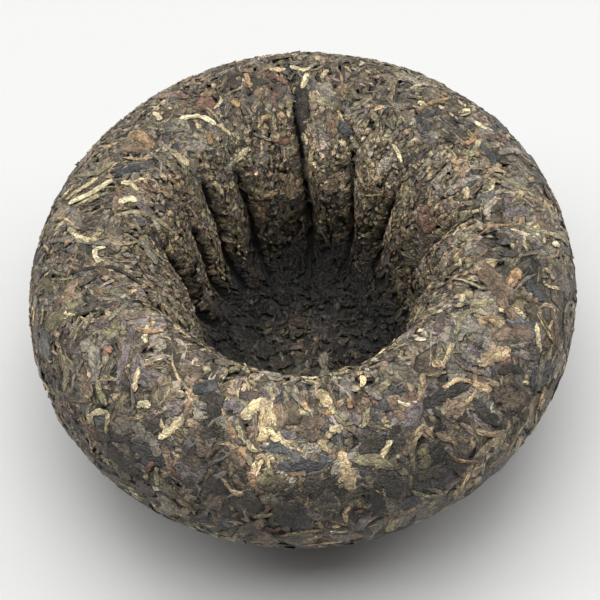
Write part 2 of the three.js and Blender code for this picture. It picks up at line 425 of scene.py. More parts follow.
    def lay(self, arc0: Array, turn0: Array, run: Array, side: Array) -> tuple[Array, Array]:
        """Lays flat offsets from a place over the form, keeping their lengths.

        Away from the poles the run goes along the profile, and the side is divided by the
        radius that it has reached. Near a pole both are laid on the flat disc there.

        Args:
            arc0: Distance along the profile of each place.
            turn0: Angle of each place.
            run: mm along the profile.
            side: mm round the nest.

        Returns:
            Distances along the profile and angles.
        """
        arc = np.clip(arc0 + run, 0, self.length)
        r = np.maximum(np.interp(arc, self.arc, self.r), 1.0)
        turn = turn0 + side / r
        r0 = np.interp(arc0, self.arc, self.r)
        hollow = arc0 > self.crest_arc
        out = r0 + np.where(hollow, -run, run)
        reach, swing = np.hypot(out, side), turn0 + np.arctan2(side, out)
        bowl = self.arc > self.crest_arc
        in_bowl = np.interp(reach, self.r[bowl][::-1], self.arc[bowl][::-1])
        near = np.broadcast_to(r0 < self.pole_radius, arc.shape)
        return np.where(near, np.where(hollow, in_bowl, reach), arc), np.where(near, swing, turn)

    def shift(self) -> Array:
        """The middle of the form seen from above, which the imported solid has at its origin."""
        arc, turn = np.meshgrid(self.arc, np.linspace(0, TURN, 361), indexing="ij")
        points = self.points(arc, turn).reshape(-1, 3)
        middle = (points.min(axis=0) + points.max(axis=0)) / 2
        return np.array([middle[0], middle[1], 0.0])


# ---- How the photograph sees it ----


@dataclass(frozen=True)
class PhotoView:
    """The photograph's own camera in mm and degrees, and its pixels."""

    elevation: float = 57.8
    distance: float = 311.0
    focal: float = 120.8
    film: float = 36.0
    aside: float = -0.43
    above: float = 0.89
    roll: float = -3.5
    target_height: float = 20.5
    pixels: int = 600

    @property
    def back(self) -> Array:
        """Direction from the nest to the camera."""
        rise = math.radians(self.elevation)
        return np.array([0.0, -math.cos(rise), math.sin(rise)])

    @property
    def up(self) -> Array:
        """Upward direction in the picture, before the roll."""
        rise = math.radians(self.elevation)
        return np.array([0.0, math.sin(rise), math.cos(rise)])

    @property
    def place(self) -> Array:
        """Where the camera stands, mm."""
        target = np.array([self.aside, 0.0, self.target_height])
        return target + self.up * self.above + self.back * self.distance

    def project(self, points: Array) -> tuple[Array, Array, Array]:
        """Finds where points stand in the picture.

        Args:
            points: Points in mm.

        Returns:
            Pixels across and down, and mm of depth.
        """
        roll, right = math.radians(self.roll), np.array([1.0, 0.0, 0.0])
        away = points - self.place
        depth = -(away @ self.back)
        scale = self.focal / self.film * self.pixels / depth
        across = away @ (right * math.cos(roll) + self.up * math.sin(roll))
        rise = away @ (self.up * math.cos(roll) - right * math.sin(roll))
        return self.pixels / 2 + across * scale, self.pixels / 2 - rise * scale, depth


@dataclass
class SeenForm:
    """What each pixel of the photograph sees of the form."""

    form: NestForm
    view: PhotoView = PhotoView()
    rows: int = 1400
    columns: int = 3200
    parts: int = 20
    margin: float = 0.2
    lift: float = 0.5
    nearest: float = 0.5
    reaches: tuple[int, ...] = (0, 1, 2, 3, 4, 6, 8, 10)

    def __post_init__(self) -> None:
        """Projects a fine grid over the form, and keeps for each pixel the point that is nearest."""
        size = self.view.pixels
        depths = np.full(size * size, np.inf)
        seen = np.full((2, size * size), np.nan)
        around = np.linspace(0, TURN, self.columns, endpoint=False)
        shift = self.form.shift()
        along = np.linspace(self.margin, self.form.length - self.margin, self.rows)
        for part in np.array_split(along, self.parts):
            arc, turn = np.meshgrid(part, around, indexing="ij")
            x, y, depth = self.view.project(self.form.points(arc, turn, self.lift).reshape(-1, 3) - shift)
            column, row = (np.clip(np.round(place - 0.5), 0, size - 1).astype(int) for place in (x, y))
            pixel = row * size + column
            order = np.argsort(-depth)
            order = order[depth[order] < depths[pixel[order]]]
            depths[pixel[order]] = depth[order]
            seen[0, pixel[order]] = arc.ravel()[order]
            seen[1, pixel[order]] = turn.ravel()[order]
        self.arc, self.turn = seen.reshape(2, size, size)

    def read(self, pixel: Pixel) -> Span:
        """Reads the place at a pixel, or in the middle of the nearest ones that see the form.

        Args:
            pixel: Pixels across and down.

        Returns:
            mm out of the crest and degrees, each to the nearest half.
        """
        column, row = pixel
        for reach in self.reaches:
            near = np.s_[max(row - reach, 0) : row + reach + 1, max(column - reach, 0) : column + reach + 1]
            found = ~np.isnan(self.arc[near])
            if found.any():
                break
        out = self.form.crest_arc - np.median(self.arc[near][found])
        turn = self.turn[near][found]
        degrees = math.degrees(math.atan2(np.sin(turn).mean(), np.cos(turn).mean())) % 360
        return round(out / self.nearest) * self.nearest, round(degrees / self.nearest) * self.nearest


# ---- Meshes from arrays ----


@dataclass
class Shell:
    """A mesh worked out as arrays: points in mm, triangles or quads, and marks on points."""

    points: Array
    faces: Array
    caps: Array
    uv: Array | None = None
    # tint_and_shade: the colour of each point, or for the core its lightness, with painted light and shade in
    # it.
    tint_and_shade: Array | None = None

    def to_object(self, name: str, material: bpy.types.Material, crisp: float | None) -> bpy.types.Object:
        """Puts the arrays into a mesh object at the origin.

        Args:
            name: The piece's name.
            material: Its finish.
            crisp: Angle in degrees over which an edge is sharp, or None for all smooth.

        Returns:
            The object, linked to the scene.
        """
        faces, caps = self.outward()
        mesh = bpy.data.meshes.new(name)
        corners = np.concatenate([faces.ravel(), caps.ravel()]).astype(np.int32)
        sizes = np.concatenate([np.full(len(faces), faces.shape[1]), np.full(len(caps), 3)]).astype(np.int32)
        starts = np.concatenate([[0], np.cumsum(sizes)[:-1]]).astype(np.int32)
        mesh.vertices.add(len(self.points))
        mesh.vertices.foreach_set("co", (self.points * MM).astype(np.float32).ravel())
        mesh.loops.add(len(corners))
        mesh.loops.foreach_set("vertex_index", corners)
        mesh.polygons.add(len(sizes))
        mesh.polygons.foreach_set("loop_start", starts)
        mesh.polygons.foreach_set("use_smooth", np.ones(len(sizes), dtype=bool))
        if self.uv is not None:
            layer = mesh.uv_layers.new(name="leaf")
            layer.data.foreach_set("uv", self.uv[corners].astype(np.float32).ravel())
        if self.tint_and_shade is not None:
            layer = mesh.attributes.new("tint_and_shade", "FLOAT_COLOR", "POINT")
            rgba = np.concatenate([self.tint_and_shade, np.ones((len(self.tint_and_shade), 1))], axis=1)
            layer.data.foreach_set("color", rgba.astype(np.float32).ravel())
        mesh.update(calc_edges=True)
        mesh.validate()
        if crisp is not None:
            mesh.set_sharp_from_angle(angle=math.radians(crisp))
        mesh.materials.append(material)
        piece = bpy.data.objects.new(name, mesh)
        bpy.context.scene.collection.objects.link(piece)
        return piece

    def outward(self) -> tuple[Array, Array]:
        """The faces turned so that the volume that they close is positive."""
        corners = np.concatenate([self.faces[:, [0, 1, 2]], self.faces[:, [0, 2, 3]], self.caps])
        a, b, c = (self.points[corners[:, k]] for k in range(3))
        volume = np.einsum("ij,ij->i", a, np.cross(b, c)).sum()
        return (self.faces, self.caps) if volume > 0 else (self.faces[:, ::-1], self.caps[:, ::-1])


def tube_faces(count: int, stations: int, around: int) -> tuple[Array, Array]:
    """Faces of many closed tubes, whose points are numbered tube by tube and ring by ring.

    Args:
        count: How many tubes.
        stations: Rings in a tube.
        around: Points in a ring. Two more points after a tube's rings close its ends.

    Returns:
        Quads between the rings, and triangles that close the ends.
    """
    ring, step = np.meshgrid(np.arange(stations - 1), np.arange(around), indexing="ij")
    here = ring * around + step
    beside = ring * around + (step + 1) % around
    quads = np.stack([here, beside, beside + around, here + around], axis=-1).reshape(-1, 4)
    around_ids = np.arange(around)
    following = (around_ids + 1) % around
    first, last = stations * around, (stations - 1) * around
    start_cap = np.stack([following, around_ids, np.full(around, first)], axis=-1)
    end_cap = np.stack([around_ids + last, following + last, np.full(around, first + 1)], axis=-1)
    caps = np.concatenate([start_cap, end_cap])
    offset = np.arange(count)[:, None, None] * (stations * around + 2)
    return (quads[None] + offset).reshape(-1, 4), (caps[None] + offset).reshape(-1, 3)


def with_ends(tables: list[Array]) -> list[Array]:
    """Puts a tube's rings in one row, and after them the middles of its first and last ring.

    Args:
        tables: Values by tube, ring and point.

    Returns:
        Values by tube and point.
    """
    rows = []
    for table in tables:
        middles = np.stack([table[:, 0].mean(axis=1), table[:, -1].mean(axis=1)], axis=1)
        rows.append(np.concatenate([table.reshape(len(table), -1), middles], axis=1))
    return rows


def smooth_noise(rng: np.random.Generator, count: int, steps: int, knots: int) -> Array:
    """Rows of smooth random values from -1 to 1: random knots joined by cosine easing.

    Args:
        rng: The draw.
        count: How many rows.
        steps: Values in a row.
        knots: Random knots in a row.

    Returns:
        An array of count by steps.
    """
    values = rng.uniform(-1, 1, (count, knots))
    place = np.linspace(0, knots - 1.001, steps)
    low = place.astype(int)
    ease = (1 - np.cos(math.pi * (place - low))) / 2
    return values[:, low] * (1 - ease) + values[:, low + 1] * ease


def crumb_relief(points: Array, cell: float, seed: int) -> Array:
    """Relief of pressed crumb: 1 at the middle of a grain and 0 at the cracks.

    Space is cut in cubes with one random grain in each, and the value is the difference
    between the distances to the nearest two grains, over the cube's size.

    Args:
        points: Points in mm.
        cell: Size of the cubes, mm.
        seed: Chooses the grains.

    Returns:
        A value from 0 to about 1 for each point.
    """
    base = np.floor(points / cell).astype(np.int64)
    nearest = np.full(len(points), 9.0)
    second = np.full(len(points), 9.0)
    for index in np.ndindex(3, 3, 3):
        cube = base + np.array(index) - 1
        mixed = (cube * np.array(CUBE_MIX)).sum(axis=1) + seed * 7919
        grain = np.stack([np.mod(np.sin(mixed * k) * 43758.5453, 1.0) for k in GRAIN_MIX], axis=1)
        distance = np.linalg.norm(points / cell - cube - grain, axis=1)
        second = np.minimum(second, np.maximum(distance, nearest))
        nearest = np.minimum(nearest, distance)
    return np.clip(second - nearest, 0, 1)


# ---- Colours of dry tea ----


class Tone(Enum):
    """Colours that dry pressed tea has, as red, green and blue from 0 to 255."""

    BLACK = (46, 42, 37)
    CHARCOAL = (69, 64, 56)
    SLATE = (86, 86, 86)
    LILAC = (120, 110, 107)
    ASH = (139, 131, 116)
    PEAT = (80, 72, 60)
    DUSK = (96, 83, 76)
    UMBER = (103, 91, 74)
    BROWN = (134, 114, 94)
    RUST = (138, 103, 86)
    OLIVE = (123, 114, 85)
    MOSS = (151, 142, 110)
    TAN = (182, 160, 125)
    STRAW = (200, 184, 145)
    CREAM = (226, 212, 172)
    AMBER = (168, 138, 103)

    @property
    def linear(self) -> Array:
        """The colour as a shader takes it."""
        share = np.array(self.value) / 255
        return np.where(share <= 0.04045, share / 12.92, ((share + 0.055) / 1.055) ** 2.4)


class Nodes:
    """Makes and joins the nodes of one material."""

    def __init__(self, name: str) -> None:
        """Starts a material with only its shader and output.

        Args:
            name: The material's name.
        """
        self.material = bpy.data.materials.new(name)
        self.material.use_nodes = True
        self.tree = self.material.node_tree
        self.tree.nodes.clear()
        self.shader = self.add("ShaderNodeBsdfPrincipled")
        output = self.add("ShaderNodeOutputMaterial")
        self.link(self.shader.outputs["BSDF"], output.inputs["Surface"])

    def add(self, kind: str, **values: object) -> bpy.types.Node:
        """Adds a node. A value whose name starts with a capital sets a socket, else a setting.

        Args:
            kind: The node's type.
            values: Sockets and settings by name, with an underline for a blank.

        Returns:
            The node.
        """
        node = self.tree.nodes.new(kind)
        for key, value in values.items():
            if key[0].isupper():
                node.inputs[key.replace("_", " ")].default_value = value
            else:
                setattr(node, key, value)
        return node

    def link(self, source: bpy.types.NodeSocket, target: bpy.types.NodeSocket) -> None:
        """Joins two sockets."""
        self.tree.links.new(source, target)

    def place(self, scale: tuple[float, float, float], uv: bool = False) -> bpy.types.NodeSocket:
        """Coordinates of the piece, or of its leaves where uv, scaled along each axis.

        Args:
            scale: How much along each axis.
            uv: Whether to take the leaves' own coordinates.

        Returns:
            The coordinates.
        """
        mapping = self.add("ShaderNodeMapping", Scale=scale)
        if uv:
            self.link(self.add("ShaderNodeUVMap", uv_map="leaf").outputs["UV"], mapping.inputs["Vector"])
        else:
            self.link(self.add("ShaderNodeTexCoord").outputs["Object"], mapping.inputs["Vector"])
        return mapping.outputs["Vector"]

    def noise(
        self, place: bpy.types.NodeSocket, scale: float, detail: float, rough: float
    ) -> bpy.types.NodeSocket:
        """Fractal noise from 0 to 1.

        Args:
            place: Coordinates.
            scale: Waves in one unit of them.
            detail: Octaves.
            rough: How much each octave keeps of the one before.

        Returns:
            The noise.
        """
        node = self.add("ShaderNodeTexNoise", Scale=scale, Detail=detail, Roughness=rough)
        self.link(place, node.inputs["Vector"])
        return node.outputs["Fac"]

    def spread(self, value: bpy.types.NodeSocket, old: Span, new: Span) -> bpy.types.NodeSocket:
        """Maps a value from one span to another.

        Args:
            value: The value.
            old: The span that it has.
            new: The span that it is given.

        Returns:
            The mapped value, kept within the span.
        """
        ends = {"From_Min": old[0], "From_Max": old[1], "To_Min": new[0], "To_Max": new[1]}
        node = self.add("ShaderNodeMapRange", **ends)
        self.link(value, node.inputs["Value"])
        return node.outputs["Result"]

    def math(self, operation: str, a: bpy.types.NodeSocket, b: bpy.types.NodeSocket) -> bpy.types.NodeSocket:
        """One sum or product of two values.

        Args:
            operation: The node's own name for it.
            a: First value.
            b: Second value.

        Returns:
            The result.
        """
        node = self.add("ShaderNodeMath", operation=operation)
        self.link(a, node.inputs[0])
        self.link(b, node.inputs[1])
        return node.outputs[0]

    def warp(self, place: bpy.types.NodeSocket, scale: float, reach: float) -> bpy.types.NodeSocket:
        """Coordinates shifted by a noise.

        Args:
            place: Coordinates.
            scale: Waves of the noise in one unit of them.
            reach: Twice the largest shift each way.

        Returns:
            The shifted coordinates.
        """
        noise = self.add("ShaderNodeTexNoise", Scale=scale, Detail=2.0)
        self.link(place, noise.inputs["Vector"])
        moved = self.add("ShaderNodeVectorMath", operation="MULTIPLY_ADD")
        self.link(noise.outputs["Color"], moved.inputs[0])
        moved.inputs[1].default_value = (reach, reach, reach)
        self.link(place, moved.inputs[2])
        return moved.outputs[0]

    def cells(self, place: bpy.types.NodeSocket) -> tuple[bpy.types.NodeSocket, bpy.types.NodeSocket]:
        """A pattern of cells.

        Args:
            place: Coordinates.

        Returns:
            A value from 0 to 1 for each cell, and the distance to the cell's edge.
        """
        inner = self.add("ShaderNodeTexVoronoi", Scale=1.0)
        edge = self.add("ShaderNodeTexVoronoi", Scale=1.0, feature="DISTANCE_TO_EDGE")
        parts = self.add("ShaderNodeSeparateColor")
        self.link(place, inner.inputs["Vector"])
        self.link(place, edge.inputs["Vector"])
        self.link(inner.outputs["Color"], parts.inputs[0])
        return parts.outputs[0], edge.outputs["Distance"]

    def ridges(self, place: bpy.types.NodeSocket) -> bpy.types.NodeSocket:
        """Thin wandering lines, where a noise passes its middle.

        Args:
            place: Coordinates.

        Returns:
            1 on a line and 0 off it.
        """
        node = self.add("ShaderNodeTexNoise", Scale=1.0, Detail=3.0, Roughness=0.55)
        self.link(place, node.inputs["Vector"])
        off = self.add("ShaderNodeMath", operation="SUBTRACT")
        self.link(node.outputs["Fac"], off.inputs[0])
        off.inputs[1].default_value = 0.5
        size = self.add("ShaderNodeMath", operation="ABSOLUTE")
        self.link(off.outputs[0], size.inputs[0])
        return self.spread(size.outputs[0], (0.0, 0.05), (1.0, 0.0))

    def tinge(
        self, colour: bpy.types.NodeSocket, place: bpy.types.NodeSocket, scale: float, reach: float
    ) -> bpy.types.NodeSocket:
        """Lets a colour's red, green and blue each drift, the green less.

        Args:
            colour: The colour.
            place: Coordinates.
            scale: Waves of the drift in one unit of them.
            reach: Half of the largest drift of red and of blue, as a share.

        Returns:
            The tinged colour.
        """
        noise = self.add("ShaderNodeTexNoise", Scale=scale, Detail=3.0, Roughness=0.7)
        self.link(place, noise.inputs["Vector"])
        drift = self.add("ShaderNodeVectorMath", operation="MULTIPLY_ADD")
        self.link(noise.outputs["Color"], drift.inputs[0])
        drift.inputs[1].default_value = (4 * reach, 2.4 * reach, 4 * reach)
        drift.inputs[2].default_value = (1 - 2 * reach, 1 - 1.2 * reach, 1 - 2 * reach)
        tinged = self.add("ShaderNodeVectorMath", operation="MULTIPLY")
        self.link(colour, tinged.inputs[0])
        self.link(drift.outputs[0], tinged.inputs[1])
        return tinged.outputs[0]

    def dim(self, colour: bpy.types.NodeSocket, value: bpy.types.NodeSocket) -> bpy.types.NodeSocket:
        """Multiplies a colour by a value.

        Args:
            colour: The colour.
            value: The value.

        Returns:
            The product.
        """
        node = self.add("ShaderNodeVectorMath", operation="SCALE")
        self.link(colour, node.inputs[0])
        self.link(value, node.inputs["Scale"])
        return node.outputs[0]

    def bump(self, height: bpy.types.NodeSocket, distance: float, strength: float) -> None:
        """Bumps the shader's normal.

        Args:
            height: Height as a share of the distance.
            distance: Metres that a share of 1 stands for.
            strength: Share of the bump that is used.
        """
        node = self.add("ShaderNodeBump", Distance=distance, Strength=strength)
        self.link(height, node.inputs["Height"])
        self.link(node.outputs["Normal"], self.shader.inputs["Normal"])


@dataclass(frozen=True)
class LeafFinish:
    """Dry leaf: its tint with painted shade, fibres along it, small wrinkled facets with painted shade in
    their seams, painted highlights along ridge lines, stains and a dull sheen.
    """

    name: str
    fibre: float = 0.18
    facet: Span = (0.66, 1.34)
    stain: float = 0.4
    hue: float = 0.09
    painted_seam_shade: float = 0.3
    ridge: float = 0.3
    drawn: float = 1.6
    gloss: Span = (0.4, 0.68)
    relief: float = 0.00024
    blotch_scale: float = 1100.0
    grain_scale: float = 4200.0
    hue_scale: float = 520.0

    def make(self) -> bpy.types.Material:
        """Builds the material. Fibres and facets are drawn out along the leaf's own length.

        Returns:
            The material.
        """
        nodes = Nodes(self.name)
        tint_and_shade = nodes.add("ShaderNodeAttribute", attribute_name="tint_and_shade", attribute_type="GEOMETRY")
        here = nodes.place((1.0, 1.0, 1.0))
        across = 8.0 * self.drawn
        fibres = nodes.noise(nodes.warp(nodes.place((8.0, across, 1.0), uv=True), 1.2, 1.0), 1.0, 4.0, 0.65)
        bent = nodes.warp(nodes.place((5.0, across * 0.62, 1.0), uv=True), 1.1, 2.6)
        facets, seams = nodes.cells(bent)
        ridges = nodes.ridges(nodes.warp(nodes.place((8.0, 10.0, 1.0), uv=True), 1.4, 1.6))
        blotch = nodes.noise(here, self.blotch_scale, 6.0, 0.7)
        grain = nodes.noise(here, self.grain_scale, 3.0, 0.6)
        streak = nodes.spread(fibres, (0.28, 0.72), (1 - self.fibre, 1 + self.fibre))
        stain = nodes.spread(blotch, (0.3, 0.7), (1 - self.stain, 1 + self.stain))
        light = nodes.math("MULTIPLY", stain, nodes.spread(facets, (0, 1), self.facet))
        light = nodes.math("MULTIPLY", streak, light)
        # Painted shade in the seams between facets, which the bump sinks as grooves.
        light = nodes.math("MULTIPLY", light, nodes.spread(seams, (0.0, 0.09), (self.painted_seam_shade, 1.0)))
        # Painted highlight along the ridge lines, which the bump raises.
        light = nodes.math("MULTIPLY", light, nodes.spread(ridges, (0.0, 1.0), (0.9, 1 + self.ridge)))
        own = nodes.tinge(tint_and_shade.outputs["Color"], here, self.hue_scale, self.hue)
        nodes.link(nodes.dim(own, light), nodes.shader.inputs["Base Color"])
        nodes.link(nodes.spread(facets, (0, 1), self.gloss), nodes.shader.inputs["Roughness"])
        deep = nodes.spread(seams, (0.0, 0.2), (0.0, 0.8))
        height = nodes.math("ADD", nodes.math("ADD", fibres, deep), nodes.math("ADD", blotch, grain))
        raised = nodes.math("ADD", blotch, nodes.spread(ridges, (0.0, 1.0), (0.0, 0.5)))
        height = nodes.math("ADD", height, raised)
        nodes.bump(height, self.relief, 0.9)
        return nodes.material


@dataclass(frozen=True)
class CrumbFinish:
    """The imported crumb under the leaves: grains of several tones with dark cracks."""

    name: str
    tones: tuple[Tone, ...] = (
        Tone.BLACK, Tone.CHARCOAL, Tone.BLACK, Tone.UMBER, Tone.CHARCOAL, Tone.OLIVE, Tone.BLACK,
    )
    grain: float = 800.0
    # dark darkens every tone: partly the crumb's own dark colour, partly painted shade where the core shows
    # in the gaps between the leaves.
    dark: float = 0.45
    rough: float = 0.75
    stain_scale: float = 1500.0
    bump_scale: float = 2600.0
    relief: float = 0.00025

    def make(self) -> bpy.types.Material:
        """Builds the material. Each cell of a bent cell pattern takes its tone from a ramp.

        Returns:
            The material.
        """
        nodes = Nodes(self.name)
        nodes.shader.inputs["Roughness"].default_value = self.rough
        place = nodes.place((1.0, 1.0, 1.0))
        cells = nodes.add("ShaderNodeTexVoronoi", Scale=self.grain, Randomness=1.0)
        nodes.link(place, cells.inputs["Vector"])
        ramp = nodes.add("ShaderNodeValToRGB")
        ramp.color_ramp.interpolation = "CONSTANT"
        elements = ramp.color_ramp.elements
        while len(elements) < len(self.tones):
            elements.new(len(elements) / len(self.tones))
        for i, tone in enumerate(self.tones):
            elements[i].position = i / len(self.tones)
            elements[i].color = (*(tone.linear * self.dark), 1.0)
        parts = nodes.add("ShaderNodeSeparateColor")
        nodes.link(cells.outputs["Color"], parts.inputs[0])
        nodes.link(parts.outputs[0], ramp.inputs["Fac"])
        stain = nodes.spread(nodes.noise(place, self.stain_scale, 5.0, 0.7), (0.3, 0.7), (0.6, 1.4))
        # Painted shade of creases and hollow, and the painted light and shade of the mix, from the mesh.
        shade = nodes.add("ShaderNodeAttribute", attribute_name="tint_and_shade", attribute_type="GEOMETRY")
        both = nodes.math("MULTIPLY", stain, shade.outputs["Fac"])
        nodes.link(nodes.dim(ramp.outputs["Color"], both), nodes.shader.inputs["Base Color"])
        nodes.bump(nodes.noise(place, self.bump_scale, 5.0, 0.65), self.relief, 0.8)
        return nodes.material


# ---- The core ----


@dataclass
class PressedCore:
    """The body of the nest, pressed in by a little so that the leaves cover it."""

    form: NestForm
    rows: int = 236
    columns: int = 420
    sunk: float = 0.6
    grain: float = 1.15
    grain_rise: float = 0.45
    grain_seed: int = 3
    finish: CrumbFinish = CrumbFinish("packed_crumb")

    def shell(self) -> Shell:
        """The turned form on a grid of profile distance by angle, with crumb relief.

        Each point stands sunk mm in from the form, plus grain_rise times the crumb relief
        to the power 0.6, and the two poles are closed by single points.

        Returns:
            The closed shell.
        """
        arc = np.linspace(0, self.form.length, self.rows + 2)[1:-1]
        turn = np.arange(self.columns) / self.columns * TURN
        arc, turn = np.meshgrid(arc, turn, indexing="ij")
        plain = self.form.points(arc, turn)
        relief = crumb_relief(plain.reshape(-1, 3), self.grain, self.grain_seed).reshape(arc.shape)
        lift = np.where(arc < self.form.foot_diameter / 2, 0.0, self.grain_rise * relief**0.6 - self.sunk)
        points = self.form.points(arc, turn, lift).reshape(-1, 3)
        floor = points[-self.columns :].mean(axis=0)
        points = np.concatenate([points, [[0.0, 0.0, 0.02], floor]])
        # Painted shade of creases and hollow, and the painted light and shade of the mix, for the crumb.
        shade = self.form.shade(arc, turn) * self.form.mix_and_painted_light(arc, turn)
        shade = np.append(shade.ravel(), [shade[0].mean(), shade[-1].mean()])
        faces, caps = tube_faces(1, self.rows, self.columns)
        return Shell(points - self.form.shift(), faces, caps, tint_and_shade=np.repeat(shade[:, None], 3, axis=1))

    def build(self) -> bpy.types.Object:
        """Makes the core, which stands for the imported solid."""
        piece = self.shell().to_object("core", self.finish.make(), None)
        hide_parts(NODE)
        return piece


# ---- Leaves, strips, stems, buds and crumbs ----


class Cut(Enum):
    """How a bit of tea is made: its kind of section, rings along it and points in a ring."""

    FLAKE = ("flat", 7, 6)
    CHIP = ("flat", 5, 6)
    ROLL = ("ridged", 7, 6)
    STRIP = ("ridged", 6, 5)
    STEM = ("round", 7, 5)
    CRUMB = ("lumpy", 3, 4)
    LAID = ("flat", 13, 8)

    @property
    def section(self) -> str:
        """Kind of section."""
        return self.value[0]

    @property
    def stations(self) -> int:
        """Rings along it."""
        return self.value[1]

    @property
    def around(self) -> int:
        """Points in a ring."""
        return self.value[2]


@dataclass(frozen=True)
class Zones:
    """How thickly a kind lies on each part of the nest, as shares of its thickest."""

    dome: float = 1.0
    front: float = 1.0
    back: float = 1.0
    rim: float = 1.0
    bowl: float = 1.0
    inner_front: float = 1.0


@dataclass(frozen=True)
class LeafKind:
    """One kind of bit in the pressed tea, in mm and degrees."""

    name: str
    cut: Cut
    count: int
    length: Span
    width: Span
    thick: Span
    lift: Span
    tilt: float
    bow: float
    aim: float
    tones: dict[Tone, float]
    zones: Zones
    finish: LeafFinish
    seed: int
    shade: float = 0.22
    blend: float = 0.25
    crisp: float | None = 40.0


@dataclass
class Bits:
    """Where bits lie, the way that they point, and their sizes."""

    arc: Array
    turn: Array
    aim: Array
    length: Array
    width: Array
    thick: Array


# A leaf's section, as shares of its half width and half thickness.
FACE_SPAN = 0.82
FACE_TOP = 1.15
FACE_FALL = 0.45
EDGE_HEIGHT = -0.5
UNDERSIDE = -1.3
# Light between the bits: the most, mm below the form where it is least, and mm from least to most.
PAINTED_OPEN_LIGHT = 1.15
SUNK_DEPTH = 0.15
LIT_RISE = 0.6


def flat_section(around: int) -> tuple[Array, Array]:
    """A leaf's section: most points over its face from edge to edge, and one below it.

    Args:
        around: Points in the section.

    Returns:
        Shares across and up.
    """
    across = np.concatenate([[-1.0], np.linspace(-FACE_SPAN, FACE_SPAN, around - 3), [1.0, 0.0]])
    face = FACE_TOP - FACE_FALL * np.linspace(-1, 1, around - 3) ** 2
    up = np.concatenate([[EDGE_HEIGHT], face, [EDGE_HEIGHT, UNDERSIDE]])
    return across, up


def painted_sunk_shade(height: Array, least: Array) -> Array:
    """Painted shade and light: a point keeps least of its lightness where it is sunk, and most where it
    stands out.
    """
    return least + (PAINTED_OPEN_LIGHT - least) * np.clip((height + SUNK_DEPTH) / LIT_RISE, 0, 1)


